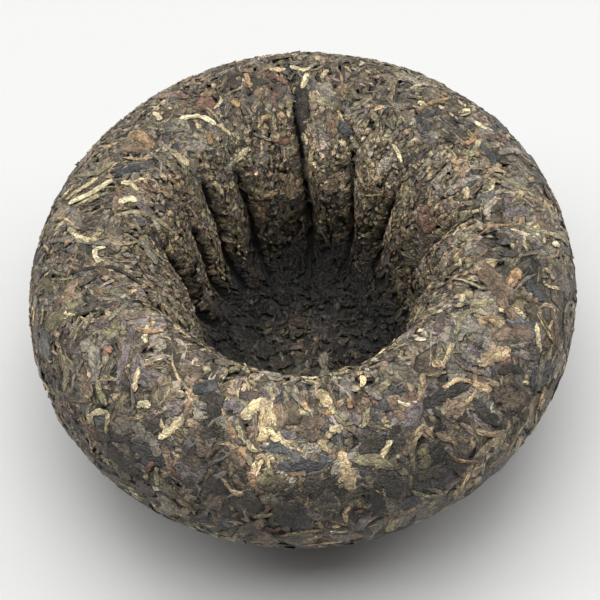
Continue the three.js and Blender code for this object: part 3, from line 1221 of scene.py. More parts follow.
@dataclass
class LeafLayer:
    """All bits of one kind, as one mesh."""

    form: NestForm
    kind: LeafKind
    lean: float = 20.0
    edge: float = 0.95
    # painted_edge_shade and painted_end_shade paint shade on the bits' edges past edge and on their ends;
    # each bit takes a share, drawn from mix_and_light_share, of the painted light and shade of the mix.
    painted_edge_shade: float = 0.12
    painted_end_shade: float = 0.35
    mix_and_light_share: Span = (0.3, 1.8)
    tries: int = 6
    stray: float = 0.5
    slant: float = 0.45
    waver: float = 0.05
    cup: float = 0.09
    crumple: float = 0.05
    fold: float = 0.45
    ridge: float = 0.22
    zone_reach: float = 12.0
    dome_edge: float = 8.0
    bowl_edge: float = 6.0
    crease_pull: float = 1.6
    pull_reach: float = 3.5
    crease_gap: float = 0.25
    widest_gap: float = 3.0
    clear_strength: float = 0.25
    least_radius: float = 4.0
    broadest: float = 0.85
    poles: float = 0.5
    cap: float = 0.02
    rng: np.random.Generator = field(init=False)

    def __post_init__(self) -> None:
        """Seeds the draw."""
        self.rng = np.random.default_rng(self.kind.seed)

    def frontness(self, turn: Array) -> Array:
        """1 at the front and its right, and 0 at the back."""
        return 0.5 - 0.5 * np.sin(turn - math.radians(self.lean))

    def below(self, stops: Stops, edge: float) -> Array:
        """1 well below a height, 0 above it, and a straight slope between."""
        return np.clip((edge - stops.z) / self.zone_reach, 0, 1)

    def density(self, arc: Array, turn: Array) -> Array:
        """How thickly the kind lies, blended over the zones' edges.

        Args:
            arc: Distances along the profile, mm.
            turn: Angles round the nest.

        Returns:
            Shares of its thickest.
        """
        zones = self.kind.zones
        stops = self.form.stops(arc)
        front = self.frontness(turn)
        outer = zones.front * front + zones.back * (1 - front)
        below = self.below(stops, self.form.waist_height + self.dome_edge)
        outer = outer * (1 - below) + zones.dome * below
        deep = self.below(stops, self.form.throat_height + self.bowl_edge)
        inner = zones.rim * (1 - deep) + zones.bowl * deep
        inner = inner * (1 - self.form.ahead(turn) * (1 - zones.inner_front))
        return np.where(stops.inside, inner, outer)

    def coarseness(self, arc: Array, turn: Array) -> Array:
        """How large the bits are: small inside and behind, large in front.

        Args:
            arc: Distances along the profile, mm.
            turn: Angles round the nest.

        Returns:
            What their sizes are multiplied by.
        """
        stops = self.form.stops(arc)
        outer = 0.74 + 0.5 * self.frontness(turn) + 0.2 * self.low_front(arc, turn)
        inner = 0.74 + 0.14 * np.clip(self.form.rim_share(stops), 0, 1)
        return np.where(stops.inside, inner, outer)

    def low_front(self, arc: Array, turn: Array) -> Array:
        """Tells the lower front from the rest.

        Args:
            arc: Distances along the profile, mm.
            turn: Angles round the nest.

        Returns:
            1 low down at the front, and 0 on the rim, inside and at the back.
        """
        stops = self.form.stops(arc)
        low = self.below(stops, self.form.waist_height + self.dome_edge)
        return np.where(stops.inside, 0.0, low * self.frontness(turn))

    def scatter(self) -> Bits:
        """Spreads the kind evenly by area, by an additive sequence thinned by the density.

        The n-th try stands at the fractions of n/1.3247 and n/1.7549 of the area and of the
        turn, and it is kept where a random draw is under the density there.

        Returns:
            The bits, clear of the creases.
        """
        kind = self.kind
        tries = np.arange(1, kind.count * self.tries)
        area = np.cumsum(self.form.r)
        share = np.mod(tries * EVEN_STEPS[0] + self.rng.random(), 1)
        arc = np.interp(share, area / area[-1], self.form.arc)
        turn = np.mod(tries * EVEN_STEPS[1] + self.rng.random(), 1) * TURN
        arc = arc + self.rng.normal(0, self.stray, len(arc))
        arc = np.clip(arc, self.poles, self.form.length - self.poles)
        keep = self.rng.random(len(arc)) < self.density(arc, turn)
        arc, turn = arc[keep][: kind.count], turn[keep][: kind.count]
        size = self.coarseness(arc, turn)
        length, width = self.draw(kind.length, len(arc)) * size, self.draw(kind.width, len(arc)) * size
        thick = self.draw(kind.thick, len(arc)) * np.sqrt(size)
        width = np.minimum(width, length * self.broadest)
        bits = Bits(arc, turn, self.aims(arc, turn), length, width, thick)
        return self.clear_creases(bits)

    def aims(self, arc: Array, turn: Array) -> Array:
        """Points the bits: up the walls inside, any way on its floor, in drifts outside.

        Args:
            arc: Distances along the profile, mm.
            turn: Angles round the nest.

        Returns:
            Angles from the profile's own direction, within a right angle each way.
        """
        stops = self.form.stops(arc)
        drift = 0.7 * np.sin(2 * turn + 1.1 + arc / 14) + 0.6 * np.sin(5 * turn - arc / 9)
        own = self.rng.normal(0, 1, len(arc)) * np.radians(self.kind.aim)
        freely = np.clip((self.form.throat_diameter / 2 - stops.r) / 5, 0, 1)
        aim = np.where(stops.inside, own * (0.5 + 2.5 * freely), drift + own)
        return np.mod(aim + math.pi / 2, math.pi) - math.pi / 2

    def clear_creases(self, bits: Bits) -> Bits:
        """Turns the bits that lie near a crease along it, and slides them off its line.

        Args:
            bits: The bits as scattered.

        Returns:
            The same bits, moved.
        """
        across, strength, way = self.form.nearest_crease(bits.arc, bits.turn)
        pull = np.minimum(1, self.crease_pull * strength) * np.exp(-((across / self.pull_reach) ** 2))
        bits.aim = bits.aim * (1 - pull) + way * pull
        off = bits.aim - way
        reach = (bits.width * np.abs(np.cos(off)) + bits.length * np.abs(np.sin(off))) / 2
        need = np.minimum(reach + self.crease_gap, self.widest_gap) * (strength > self.clear_strength)
        push = np.clip(need - np.abs(across), 0, None) * np.where(across < 0, -1, 1)
        radius = np.interp(bits.arc, self.form.arc, self.form.r)
        bits.turn = bits.turn + push / np.maximum(radius, self.least_radius)
        return bits

    def draw(self, span: Span, count: int) -> Array:
        """Random sizes in a span, more of them small."""
        return span[0] + (span[1] - span[0]) * self.rng.beta(1.5, 2.4, count)

    def outline(self, along: Array, count: int) -> tuple[Array, Array]:
        """Half widths of the two edges as shares, from -1 to 1 along each bit.

        A share is (1 - |u|^p)^q, with a p of its own for each end, times 1 + rough noise.

        Args:
            along: u at each station.
            count: How many bits.

        Returns:
            Shares for the left and the right edge, count by stations.
        """
        blunt = self.kind.cut.section == "flat"
        low, high, ragged = (2.0, 9.0, 0.34) if blunt else (1.4, 5.0, 0.2)
        start, end = (self.rng.uniform(low, high, (count, 1)) for _ in range(2))
        p = np.where(along < 0, start, end)
        q = self.rng.uniform(0.35, 0.75, (count, 1))
        body = np.clip(1 - np.abs(along * 0.975) ** p, 0, 1) ** q
        rough = [1 + self.rng.uniform(-ragged, ragged, (count, len(along))) for _ in range(2)]
        return body * rough[0], body * rough[1]

    def section(self, count: int) -> tuple[Array, Array]:
        """Points round each bit's section: shares across and up.

        A flat one is a leaf's. The others are rounds: ridged with three ridges, round with
        even noise, and lumpy with more.

        Args:
            count: How many bits.

        Returns:
            Shares across and up, count by points.
        """
        around, kind = self.kind.cut.around, self.kind.cut.section
        if kind == "flat":
            across, up = flat_section(around)
            folded = 1 + self.rng.normal(0, self.fold, (count, around))
            return np.broadcast_to(across, (count, around)), up * folded
        angle = np.arange(around) / around * TURN + self.rng.uniform(0, TURN, (count, 1))
        reach = 1 + self.ridge * np.cos(3 * angle + self.rng.uniform(0, TURN, (count, 1)))
        if kind != "ridged":
            rough = 0.35 if kind == "lumpy" else 0.18
            reach = 1 + self.rng.uniform(-rough, rough, (count, around))
        return np.cos(angle) * reach, np.sin(angle) * reach

    def shell(self, bits: Bits) -> Shell:
        """Bends every bit over the form.

        A bit is a section carried along a bowed line, with its ends cut at a slant. Its
        height is its lift, plus a tilt along it, a cup across it and crumple noise, plus
        the section's own height.

        Args:
            bits: Where the bits lie, and their sizes.

        Returns:
            One shell with a closed surface for each bit.
        """
        kind, rng, cut, count = self.kind, self.rng, self.kind.cut, len(bits.arc)
        along = np.sin(np.linspace(-1, 1, cut.stations) * math.pi / 2 * 0.999)
        length, width, thick = (size[:, None, None] for size in (bits.length, bits.width, bits.thick))
        left, right = self.outline(along, count)
        across, up = self.section(count)
        across = across[:, None, :]
        y = across * np.where(across < 0, left[..., None], right[..., None]) * width / 2
        bow = rng.normal(0, kind.bow, (count, 1)) * (1 - along**2)
        bow = bow + kind.bow * 0.5 * smooth_noise(rng, count, cut.stations, 4)
        slant = rng.normal(0, self.slant, (count, 1)) * (1 - along) / 2
        slant = slant + rng.normal(0, self.slant, (count, 1)) * (1 + along) / 2
        x = along[None, :, None] * length / 2 + slant[..., None] * y
        y = y + bow[..., None] * length / 6
        taper = np.clip((left + right)[..., None] / 2, 0.35 if cut.section == "flat" else 0.2, 1)
        tilt = np.clip(rng.normal(0, 1, (count, 1)), -1.5, 1.5) * kind.tilt
        lift = rng.uniform(*kind.lift, (count, 1)) + tilt * along
        lift = lift + self.waver * smooth_noise(rng, count, cut.stations, 6)
        cup = rng.normal(0, self.cup, (count, 1, 1)) * across**2
        crumple = self.crumple * rng.normal(0, 1, (count, cut.stations, cut.around))
        height = lift[..., None] + cup + crumple + up[:, None, :] * thick / 2 * taper
        # Painted shade: the edges and ends of a bit are darker, and so is a bit that lies sunk among the
        # others, while one that stands out is painted lighter.
        light = np.ones(height.shape)
        if cut.section == "flat":
            light *= np.where(np.abs(across) > self.edge, self.painted_edge_shade, 1.0)
        light[:, [0, -1]] *= self.painted_end_shade
        return self.bent(bits, x, y, height, light * painted_sunk_shade(height, self.painted_crack_shade(bits)))

    def painted_crack_shade(self, bits: Bits) -> Array:
        """Light left by the painted shade between the bits: least low in front, and most on the hollow's
        floor.

        Args:
            bits: The bits.

        Returns:
            A share for each bit.
        """
        stops = self.form.stops(bits.arc)
        outer = 0.45 - 0.2 * self.frontness(bits.turn) - 0.15 * self.low_front(bits.arc, bits.turn)
        inner = 0.42 + 0.3 * np.clip((self.form.throat_height - stops.z) / 8, 0, 1)
        return np.where(stops.inside, inner, outer)[:, None, None]

    def bent(self, bits: Bits, x: Array, y: Array, height: Array, light: Array) -> Shell:
        """Lays the bits' own coordinates over the form and closes their ends.

        Args:
            bits: Where the bits lie, and their sizes.
            x: mm along the bit.
            y: mm across it.
            height: mm off the form.
            light: Shares of its lightness, with painted shade at edges, ends and between the bits.

        Returns:
            The shell.
        """
        count, stations, around = x.shape
        x, y, height, light = with_ends([x, y, height, light])
        x[:, -2] -= self.cap * bits.length
        x[:, -1] += self.cap * bits.length
        aim = bits.aim[:, None]
        run, side = x * np.cos(aim) - y * np.sin(aim), x * np.sin(aim) + y * np.cos(aim)
        arc, turn = self.form.lay(bits.arc[:, None], bits.turn[:, None], run, side)
        points = self.form.points(arc, turn, height).reshape(-1, 3) - self.form.shift()
        faces, caps = tube_faces(count, stations, around)
        spot = self.rng.uniform(0, UV_SPOTS, (count, 1, 2))
        uv = (np.stack([x, y], axis=-1) / UV_MM + spot).reshape(-1, 2)
        # Painted shade of creases and hollow, and each bit's share of the painted light and shade of the mix.
        taken = self.rng.uniform(*self.mix_and_light_share, (count, 1))
        light = light * self.form.shade(arc, turn) * self.form.mix_and_painted_light(arc, turn) ** taken
        tint_and_shade = self.tints(x, bits) * light[..., None]
        return Shell(points, faces, caps, uv, tint_and_shade.reshape(-1, 3))

    def local_tone(self, bits: Bits) -> Array:
        """The tone that bits share with those round them, in drifts from grey to brown.

        Args:
            bits: The bits.

        Returns:
            Linear colours.
        """
        drift = np.sin(3 * bits.turn + bits.arc / 5) + np.sin(7 * bits.turn - bits.arc / 3.5 + 1)
        drift = drift + np.sin(11 * bits.turn + bits.arc / 2.5 + 4)
        warm, cool = Tone.UMBER.linear * 1.1, Tone.CHARCOAL.linear
        return cool + (warm - cool) * np.clip(0.6 + 0.3 * drift, 0, 1)[:, None]

    def tints(self, x: Array, bits: Bits) -> Array:
        """Colours each bit: one tone of the kind's mix, lighter or darker, with another at one end.

        Args:
            x: mm along each bit, by point.
            bits: The bits.

        Returns:
            Linear colours by bit and point.
        """
        length, count = bits.length, len(bits.length)
        tones = np.array([tone.linear for tone in self.kind.tones])
        odds = np.array(list(self.kind.tones.values()), dtype=float)
        own = tones[self.rng.choice(len(tones), count, p=odds / odds.sum())]
        other = tones[self.rng.choice(len(tones), count, p=odds / odds.sum())]
        low = self.low_front(bits.arc, bits.turn)[:, None]
        own = own * np.exp(self.rng.normal(0, self.kind.shade, (count, 1)) * (1 + 1.8 * low))
        own = own + (self.local_tone(bits) - own) * self.kind.blend * (1 - low)
        place = np.clip(0.5 + x / length[:, None] + self.rng.uniform(-0.5, 0.5, (count, 1)), 0, 1)[..., None]
        blend = self.rng.uniform(0, 0.6, (count, 1, 1))
        return own[:, None, :] * (1 - blend * place) + other[:, None, :] * blend * place

    def build(self) -> bpy.types.Object:
        """Makes the kind's mesh."""
        return self.shell(self.scatter()).to_object(self.kind.name, self.kind.finish.make(), self.kind.crisp)


KINDS = (
    LeafKind(
        name="dark_flakes", cut=Cut.FLAKE, count=1250, length=(3.5, 8.5), width=(2.2, 5.0), thick=(0.2, 0.38),
        lift=(-0.08, 0.34), tilt=0.17, bow=0.35, aim=60,
        tones={
            Tone.CHARCOAL: 4, Tone.SLATE: 2.5, Tone.LILAC: 1.5, Tone.ASH: 2.5, Tone.BLACK: 1.5, Tone.UMBER: 3,
        },
        zones=Zones(0.9, 0.75, 0.8, 0.5, 0.5), finish=LeafFinish("dark_leaf"), seed=11,
    ),
    LeafKind(
        name="brown_flakes", cut=Cut.FLAKE, count=1250, length=(3.0, 7.5), width=(1.8, 4.2),
        thick=(0.2, 0.38), lift=(-0.08, 0.36), tilt=0.18, bow=0.4, aim=60,
        tones={
            Tone.UMBER: 4, Tone.BROWN: 3.5, Tone.LILAC: 1.5, Tone.ASH: 4, Tone.OLIVE: 1.2, Tone.TAN: 0.8,
            Tone.RUST: 0.4,
        },
        zones=Zones(0.75, 0.75, 0.8, 0.6, 0.4), finish=LeafFinish("brown_leaf"), seed=12,
    ),
    LeafKind(
        name="chips", cut=Cut.CHIP, count=2000, length=(1.6, 3.8), width=(0.9, 2.3), thick=(0.2, 0.4),
        lift=(0.05, 0.36), tilt=0.14, bow=0.3, aim=80,
        tones={
            Tone.CHARCOAL: 3, Tone.SLATE: 1.5, Tone.ASH: 3.5, Tone.UMBER: 3, Tone.BROWN: 2.5, Tone.OLIVE: 1.5,
            Tone.MOSS: 1.2, Tone.TAN: 1.2, Tone.STRAW: 0.3, Tone.LILAC: 1,
        },
        zones=Zones(0.35, 0.42, 0.9, 0.9, 0.6), finish=LeafFinish("leaf_chip"), seed=18,
    ),
    LeafKind(
        name="dark_rolls", cut=Cut.ROLL, count=1800, length=(3.5, 10.0), width=(0.7, 1.9), thick=(0.35, 0.75),
        lift=(-0.05, 0.24), tilt=0.13, bow=0.7, aim=35,
        tones={Tone.CHARCOAL: 4, Tone.SLATE: 2, Tone.BLACK: 2, Tone.ASH: 2, Tone.UMBER: 3, Tone.LILAC: 1},
        zones=Zones(0.35, 0.33, 1.0, 0.6, 0.5),
        finish=LeafFinish("dark_roll", fibre=0.35, drawn=3.5), seed=13,
    ),
    LeafKind(
        name="pale_strips", cut=Cut.STRIP, count=2100, length=(2.5, 8.0), width=(0.5, 1.4), thick=(0.3, 0.6),
        lift=(0.0, 0.3), tilt=0.12, bow=0.7, aim=35,
        tones={
            Tone.ASH: 5, Tone.OLIVE: 2, Tone.MOSS: 2, Tone.BROWN: 2.5, Tone.TAN: 2, Tone.LILAC: 1.5,
            Tone.STRAW: 0.4, Tone.UMBER: 3,
        },
        zones=Zones(0.2, 0.24, 1.0, 0.6, 0.3),
        finish=LeafFinish("pale_strip", fibre=0.35, drawn=3.5), seed=14,
    ),
    LeafKind(
        name="stems", cut=Cut.STEM, count=700, length=(3.0, 10.0), width=(0.35, 0.8), thick=(0.3, 0.55),
        lift=(0.1, 0.36), tilt=0.1, bow=0.9, aim=50,
        tones={
            Tone.TAN: 2, Tone.ASH: 2.5, Tone.BROWN: 2.5, Tone.MOSS: 1, Tone.CHARCOAL: 1.5, Tone.AMBER: 0.3,
        },
        zones=Zones(0.3, 0.5, 1.0, 0.5, 0.3),
        finish=LeafFinish("stalk", fibre=0.3, drawn=3.5), seed=15, blend=0.2, crisp=None,
    ),
    LeafKind(
        name="buds", cut=Cut.ROLL, count=300, length=(2.2, 5.5), width=(0.6, 1.4), thick=(0.35, 0.6),
        lift=(0.12, 0.34), tilt=0.1, bow=0.8, aim=60,
        tones={Tone.CREAM: 0.4, Tone.STRAW: 2, Tone.TAN: 4, Tone.AMBER: 0.6, Tone.MOSS: 1},
        zones=Zones(0.3, 0.55, 1.0, 0.8, 0.3),
        finish=LeafFinish("bud", fibre=0.3, stain=0.3), seed=16, blend=0.2,
    ),
    LeafKind(
        name="crumbs", cut=Cut.CRUMB, count=6500, length=(0.8, 2.1), width=(0.7, 1.5), thick=(0.35, 0.7),
        lift=(0.1, 0.34), tilt=0.05, bow=0.2, aim=90,
        tones={
            Tone.MOSS: 2.5, Tone.TAN: 2.5, Tone.OLIVE: 2, Tone.ASH: 3, Tone.UMBER: 3, Tone.CHARCOAL: 3,
            Tone.STRAW: 0.5, Tone.BROWN: 2.5,
        },
        zones=Zones(0.15, 0.2, 0.6, 1.0, 0.6, 0.4),
        finish=LeafFinish("crumb", stain=0.3, relief=0.00016), seed=17, shade=0.15,
    ),
    LeafKind(
        name="pale_crumbs", cut=Cut.CRUMB, count=1800, length=(1.1, 2.5), width=(0.9, 1.8), thick=(0.5, 1.0),
        lift=(0.15, 0.45), tilt=0.05, bow=0.2, aim=90,
        tones={
            Tone.MOSS: 2, Tone.TAN: 1.5, Tone.ASH: 3, Tone.OLIVE: 2, Tone.STRAW: 0.2, Tone.BROWN: 3,
            Tone.AMBER: 0.3,
        },
        zones=Zones(0.0, 0.02, 0.08, 1.0, 0.3, 0.15),
        finish=LeafFinish("pale_crumb", stain=0.3, relief=0.00016), seed=20, shade=0.15,
    ),
)


@dataclass(frozen=True)
class Laid:
    """A bit that stands out in the photograph: its tone, its width in mm, and pixels on its line.

    The pixels are read along its middle. The places that they see are worked out.
    """

    tone: Tone
    width: float
    line: tuple[Pixel, ...]


LAID = (
    Laid(Tone.PEAT, 3.1, ((105, 450), (122, 462), (138, 470))),
    Laid(Tone.DUSK, 1.2, ((92, 437), (112, 437), (130, 440))),
    Laid(Tone.DUSK, 2.3, ((136, 482), (145, 488), (155, 495))),
    Laid(Tone.UMBER, 2.2, ((158, 485), (168, 490), (178, 495))),
    Laid(Tone.ASH, 2.0, ((133, 424), (138, 432), (141, 440))),
    Laid(Tone.ASH, 1.7, ((146, 434), (153, 442), (156, 455))),
    Laid(Tone.BROWN, 1.2, ((162, 446), (166, 458), (170, 470))),
    Laid(Tone.RUST, 0.6, ((168, 460), (173, 470), (178, 478))),
    Laid(Tone.RUST, 0.8, ((144, 474), (148, 468), (151, 462))),
    Laid(Tone.MOSS, 0.8, ((155, 465), (155, 475), (156, 484))),
    Laid(Tone.UMBER, 0.5, ((172, 480), (178, 490), (182, 498))),
    Laid(Tone.PEAT, 3.1, ((205, 476), (214, 490), (224, 503))),
    Laid(Tone.AMBER, 0.5, ((84, 430), (89, 440), (91, 447))),
    Laid(Tone.MOSS, 0.5, ((118, 482), (128, 487), (134, 489))),
    Laid(Tone.TAN, 0.8, ((168, 512), (175, 513), (182, 515))),
    Laid(Tone.UMBER, 2.2, ((180, 455), (190, 462), (200, 470))),
    Laid(Tone.PEAT, 2.3, ((185, 478), (192, 486), (198, 494))),
    Laid(Tone.SLATE, 2.3, ((193, 388), (205, 387), (218, 386))),
    Laid(Tone.LILAC, 1.9, ((222, 405), (232, 405), (240, 408))),
    Laid(Tone.ASH, 2.5, ((201, 402), (200, 410), (199, 420))),
    Laid(Tone.DUSK, 2.0, ((240, 396), (250, 396), (258, 394))),
    Laid(Tone.PEAT, 2.0, ((200, 432), (212, 432), (224, 430))),
    Laid(Tone.ASH, 1.1, ((206, 446), (211, 441), (216, 438))),
    Laid(Tone.BROWN, 1.9, ((195, 452), (205, 450), (212, 455))),
    Laid(Tone.TAN, 1.4, ((262, 398), (263, 412), (264, 425))),
    Laid(Tone.STRAW, 0.8, ((272, 396), (270, 412), (269, 425))),
    Laid(Tone.BROWN, 1.7, ((277, 402), (279, 415), (280, 428))),
    Laid(Tone.UMBER, 2.2, ((290, 400), (292, 412), (294, 424))),
    Laid(Tone.STRAW, 1.1, ((270, 436), (280, 440), (290, 447))),
    Laid(Tone.TAN, 1.2, ((258, 440), (265, 432), (270, 426))),
    Laid(Tone.LILAC, 1.4, ((281, 432), (289, 433), (297, 436))),
    Laid(Tone.TAN, 2.0, ((316, 390), (323, 396), (330, 404))),
    Laid(Tone.AMBER, 0.9, ((302, 400), (304, 404), (306, 409))),
    Laid(Tone.AMBER, 0.9, ((323, 408), (327, 411), (331, 415))),
    Laid(Tone.BROWN, 2.2, ((300, 428), (310, 422), (322, 418))),
    Laid(Tone.UMBER, 1.9, ((305, 440), (314, 436), (322, 432))),
    Laid(Tone.PEAT, 1.4, ((240, 468), (242, 475), (243, 484))),
    Laid(Tone.RUST, 0.6, ((245, 467), (248, 468), (251, 468))),
    Laid(Tone.AMBER, 0.8, ((252, 472), (252, 480), (254, 488))),
    Laid(Tone.OLIVE, 1.9, ((270, 468), (266, 476), (262, 484))),
    Laid(Tone.UMBER, 2.6, ((273, 476), (279, 483), (284, 491))),
    Laid(Tone.PEAT, 3.3, ((303, 480), (313, 487), (322, 494))),
    Laid(Tone.PEAT, 2.9, ((328, 478), (334, 486), (339, 495))),
    Laid(Tone.PEAT, 2.8, ((246, 490), (251, 500), (256, 512))),
    Laid(Tone.RUST, 0.6, ((271, 505), (268, 509), (264, 513))),
    Laid(Tone.MOSS, 0.9, ((252, 518), (262, 516), (272, 513))),
    Laid(Tone.RUST, 0.6, ((264, 528), (272, 529), (281, 529))),
    Laid(Tone.TAN, 0.8, ((278, 536), (300, 533), (322, 530))),
    Laid(Tone.STRAW, 0.6, ((330, 531), (340, 531), (350, 530))),
    Laid(Tone.TAN, 0.6, ((300, 545), (325, 542), (350, 537))),
    Laid(Tone.PEAT, 2.8, ((285, 504), (293, 510), (300, 516))),
    Laid(Tone.MOSS, 0.6, ((311, 508), (315, 508), (320, 507))),
    Laid(Tone.MOSS, 0.5, ((327, 511), (332, 511), (338, 511))),
    Laid(Tone.MOSS, 0.8, ((317, 521), (319, 524), (321, 527))),
    Laid(Tone.TAN, 0.5, ((222, 478), (232, 490), (238, 494), (244, 493))),
    Laid(Tone.SLATE, 2.5, ((383, 410), (391, 399), (402, 388))),
    Laid(Tone.ASH, 1.4, ((365, 388), (374, 392), (382, 398))),
    Laid(Tone.BROWN, 1.4, ((362, 398), (366, 402), (370, 407))),
    Laid(Tone.LILAC, 2.5, ((409, 426), (413, 413), (420, 402))),
    Laid(Tone.PEAT, 2.2, ((358, 450), (371, 446), (385, 440))),
    Laid(Tone.RUST, 0.6, ((353, 401), (354, 405), (355, 409))),
    Laid(Tone.BROWN, 1.4, ((405, 455), (410, 440), (413, 428))),
    Laid(Tone.OLIVE, 1.9, ((421, 448), (424, 460), (423, 470))),
    Laid(Tone.MOSS, 1.6, ((355, 461), (370, 461), (386, 465))),
    Laid(Tone.PEAT, 3.1, ((372, 478), (392, 484), (412, 488))),
    Laid(Tone.UMBER, 2.0, ((418, 479), (433, 473), (449, 472))),
    Laid(Tone.PEAT, 2.5, ((368, 490), (376, 504), (384, 517))),
    Laid(Tone.BROWN, 2.5, ((444, 413), (454, 410), (465, 408))),
    Laid(Tone.CHARCOAL, 2.2, ((432, 446), (438, 453), (444, 460))),
    Laid(Tone.PEAT, 2.3, ((448, 461), (456, 466), (466, 471))),
    Laid(Tone.MOSS, 0.6, ((412, 491), (424, 495), (437, 497))),
    Laid(Tone.AMBER, 0.5, ((459, 462), (470, 461), (481, 461))),
    Laid(Tone.TAN, 0.6, ((444, 435), (451, 439), (457, 446))),
    Laid(Tone.MOSS, 0.9, ((355, 502), (361, 505), (367, 508))),
    Laid(Tone.RUST, 0.5, ((354, 513), (359, 512), (364, 510))),
    Laid(Tone.TAN, 0.6, ((383, 489), (384, 492), (385, 496))),
    Laid(Tone.MOSS, 0.6, ((456, 484), (459, 490), (462, 498))),
    Laid(Tone.TAN, 0.5, ((475, 479), (473, 486), (469, 493))),
    Laid(Tone.SLATE, 2.3, ((402, 506), (412, 500), (422, 497))),
    Laid(Tone.ASH, 1.2, ((462, 342), (468, 352), (476, 362))),
    Laid(Tone.UMBER, 2.6, ((493, 396), (507, 392), (521, 390))),
    Laid(Tone.BROWN, 2.2, ((503, 405), (514, 402), (526, 397))),
    Laid(Tone.SLATE, 0.9, ((536, 360), (534, 375), (532, 392))),
    Laid(Tone.ASH, 1.1, ((541, 362), (540, 378), (537, 390))),
    Laid(Tone.BROWN, 1.2, ((552, 310), (556, 325), (557, 345))),
    Laid(Tone.TAN, 0.6, ((546, 387), (543, 398), (539, 410))),
    Laid(Tone.TAN, 0.3, ((537, 310), (545, 325), (553, 340), (562, 355))),
    Laid(Tone.CHARCOAL, 1.4, ((498, 373), (511, 368), (524, 371))),
    Laid(Tone.BROWN, 1.7, ((508, 304), (511, 311), (514, 319))),
    Laid(Tone.UMBER, 2.0, ((529, 303), (531, 311), (532, 320))),
    Laid(Tone.DUSK, 1.9, ((441, 310), (438, 320), (436, 331))),
    Laid(Tone.LILAC, 0.6, ((452, 353), (465, 365), (478, 372), (490, 374))),
    Laid(Tone.BROWN, 2.3, ((478, 262), (488, 272), (500, 284))),
    Laid(Tone.BROWN, 1.9, ((500, 282), (508, 290), (516, 300))),
    Laid(Tone.BROWN, 1.7, ((150, 97), (170, 94), (188, 96))),
    Laid(Tone.RUST, 2.6, ((196, 102), (206, 103), (214, 100))),
    Laid(Tone.AMBER, 1.1, ((200, 94), (208, 92), (215, 93))),
    Laid(Tone.CREAM, 0.8, ((178, 118), (197, 116), (215, 124))),
    Laid(Tone.CREAM, 0.9, ((153, 112), (157, 115), (161, 120))),
    Laid(Tone.AMBER, 1.9, ((128, 133), (142, 135), (154, 146))),
    Laid(Tone.BROWN, 2.2, ((116, 148), (134, 146), (152, 150))),
    Laid(Tone.TAN, 0.6, ((122, 156), (138, 158), (152, 157))),
    Laid(Tone.STRAW, 1.1, ((168, 147), (178, 156), (190, 164))),
    Laid(Tone.ASH, 0.5, ((141, 149), (158, 159), (161, 177))),
    Laid(Tone.MOSS, 1.2, ((74, 176), (95, 172), (112, 161))),
    Laid(Tone.STRAW, 0.8, ((66, 199), (84, 185), (96, 177))),
    Laid(Tone.CREAM, 1.1, ((69, 202), (90, 192), (112, 179))),
    Laid(Tone.SLATE, 1.4, ((112, 176), (134, 167), (156, 165))),
    Laid(Tone.STRAW, 0.9, ((119, 181), (131, 183), (137, 189))),
    Laid(Tone.CREAM, 1.2, ((118, 202), (127, 198), (137, 198))),
    Laid(Tone.RUST, 0.5, ((137, 184), (150, 189), (165, 191))),
    Laid(Tone.MOSS, 0.8, ((112, 215), (148, 214), (176, 235))),
    Laid(Tone.STRAW, 0.9, ((75, 233), (86, 239), (99, 239))),
    Laid(Tone.AMBER, 0.5, ((98, 238), (106, 236), (113, 235))),
    Laid(Tone.TAN, 0.5, ((108, 242), (122, 243), (138, 241))),
    Laid(Tone.ASH, 1.2, ((48, 240), (76, 238), (108, 244))),
    Laid(Tone.CREAM, 0.8, ((103, 246), (94, 250), (97, 260), (109, 263))),
    Laid(Tone.AMBER, 0.5, ((49, 252), (54, 249), (59, 248))),
    Laid(Tone.ASH, 1.4, ((142, 238), (149, 251), (157, 263))),
    Laid(Tone.CHARCOAL, 0.6, ((70, 273), (108, 266), (146, 287))),
    Laid(Tone.OLIVE, 2.2, ((38, 283), (45, 284), (52, 290))),
    Laid(Tone.OLIVE, 3.4, ((44, 326), (60, 315), (79, 304))),
    Laid(Tone.STRAW, 0.6, ((63, 312), (68, 312), (73, 315))),
    Laid(Tone.ASH, 0.8, ((104, 323), (116, 312), (128, 302))),
    Laid(Tone.AMBER, 0.8, ((136, 327), (149, 331), (164, 330))),
    Laid(Tone.LILAC, 1.4, ((117, 386), (124, 352), (136, 322))),
    Laid(Tone.STRAW, 0.9, ((133, 392), (134, 378), (139, 365))),
    Laid(Tone.AMBER, 0.5, ((142, 365), (148, 363), (154, 362))),
    Laid(Tone.ASH, 0.5, ((131, 382), (132, 404), (126, 417), (116, 412))),
    Laid(Tone.STRAW, 0.9, ((93, 426), (91, 414), (99, 411), (107, 415), (104, 430))),
    Laid(Tone.RUST, 0.8, ((87, 427), (93, 431), (99, 433))),
    Laid(Tone.RUST, 1.1, ((103, 353), (106, 350), (111, 346))),
    Laid(Tone.ASH, 2.0, ((78, 343), (92, 352), (96, 377))),
    Laid(Tone.MOSS, 1.1, ((96, 378), (98, 394), (105, 405))),
    Laid(Tone.STRAW, 1.2, ((159, 438), (170, 428), (182, 419))),
    Laid(Tone.CREAM, 1.1, ((136, 405), (142, 404), (149, 407))),
    Laid(Tone.LILAC, 0.8, ((60, 405), (75, 425), (90, 450))),
    Laid(Tone.MOSS, 1.4, ((62, 354), (66, 372), (62, 391))),
    Laid(Tone.AMBER, 1.0, ((221, 408), (230, 430), (246, 460))),
    Laid(Tone.MOSS, 0.9, ((237, 423), (246, 440), (255, 452))),
    Laid(Tone.STRAW, 2.0, ((242, 418), (253, 406), (266, 402))),
    Laid(Tone.TAN, 1.2, ((262, 441), (262, 418), (268, 398))),
    Laid(Tone.TAN, 1.2, ((275, 426), (271, 408), (270, 389))),
    Laid(Tone.STRAW, 1.1, ((257, 439), (270, 430), (293, 451))),
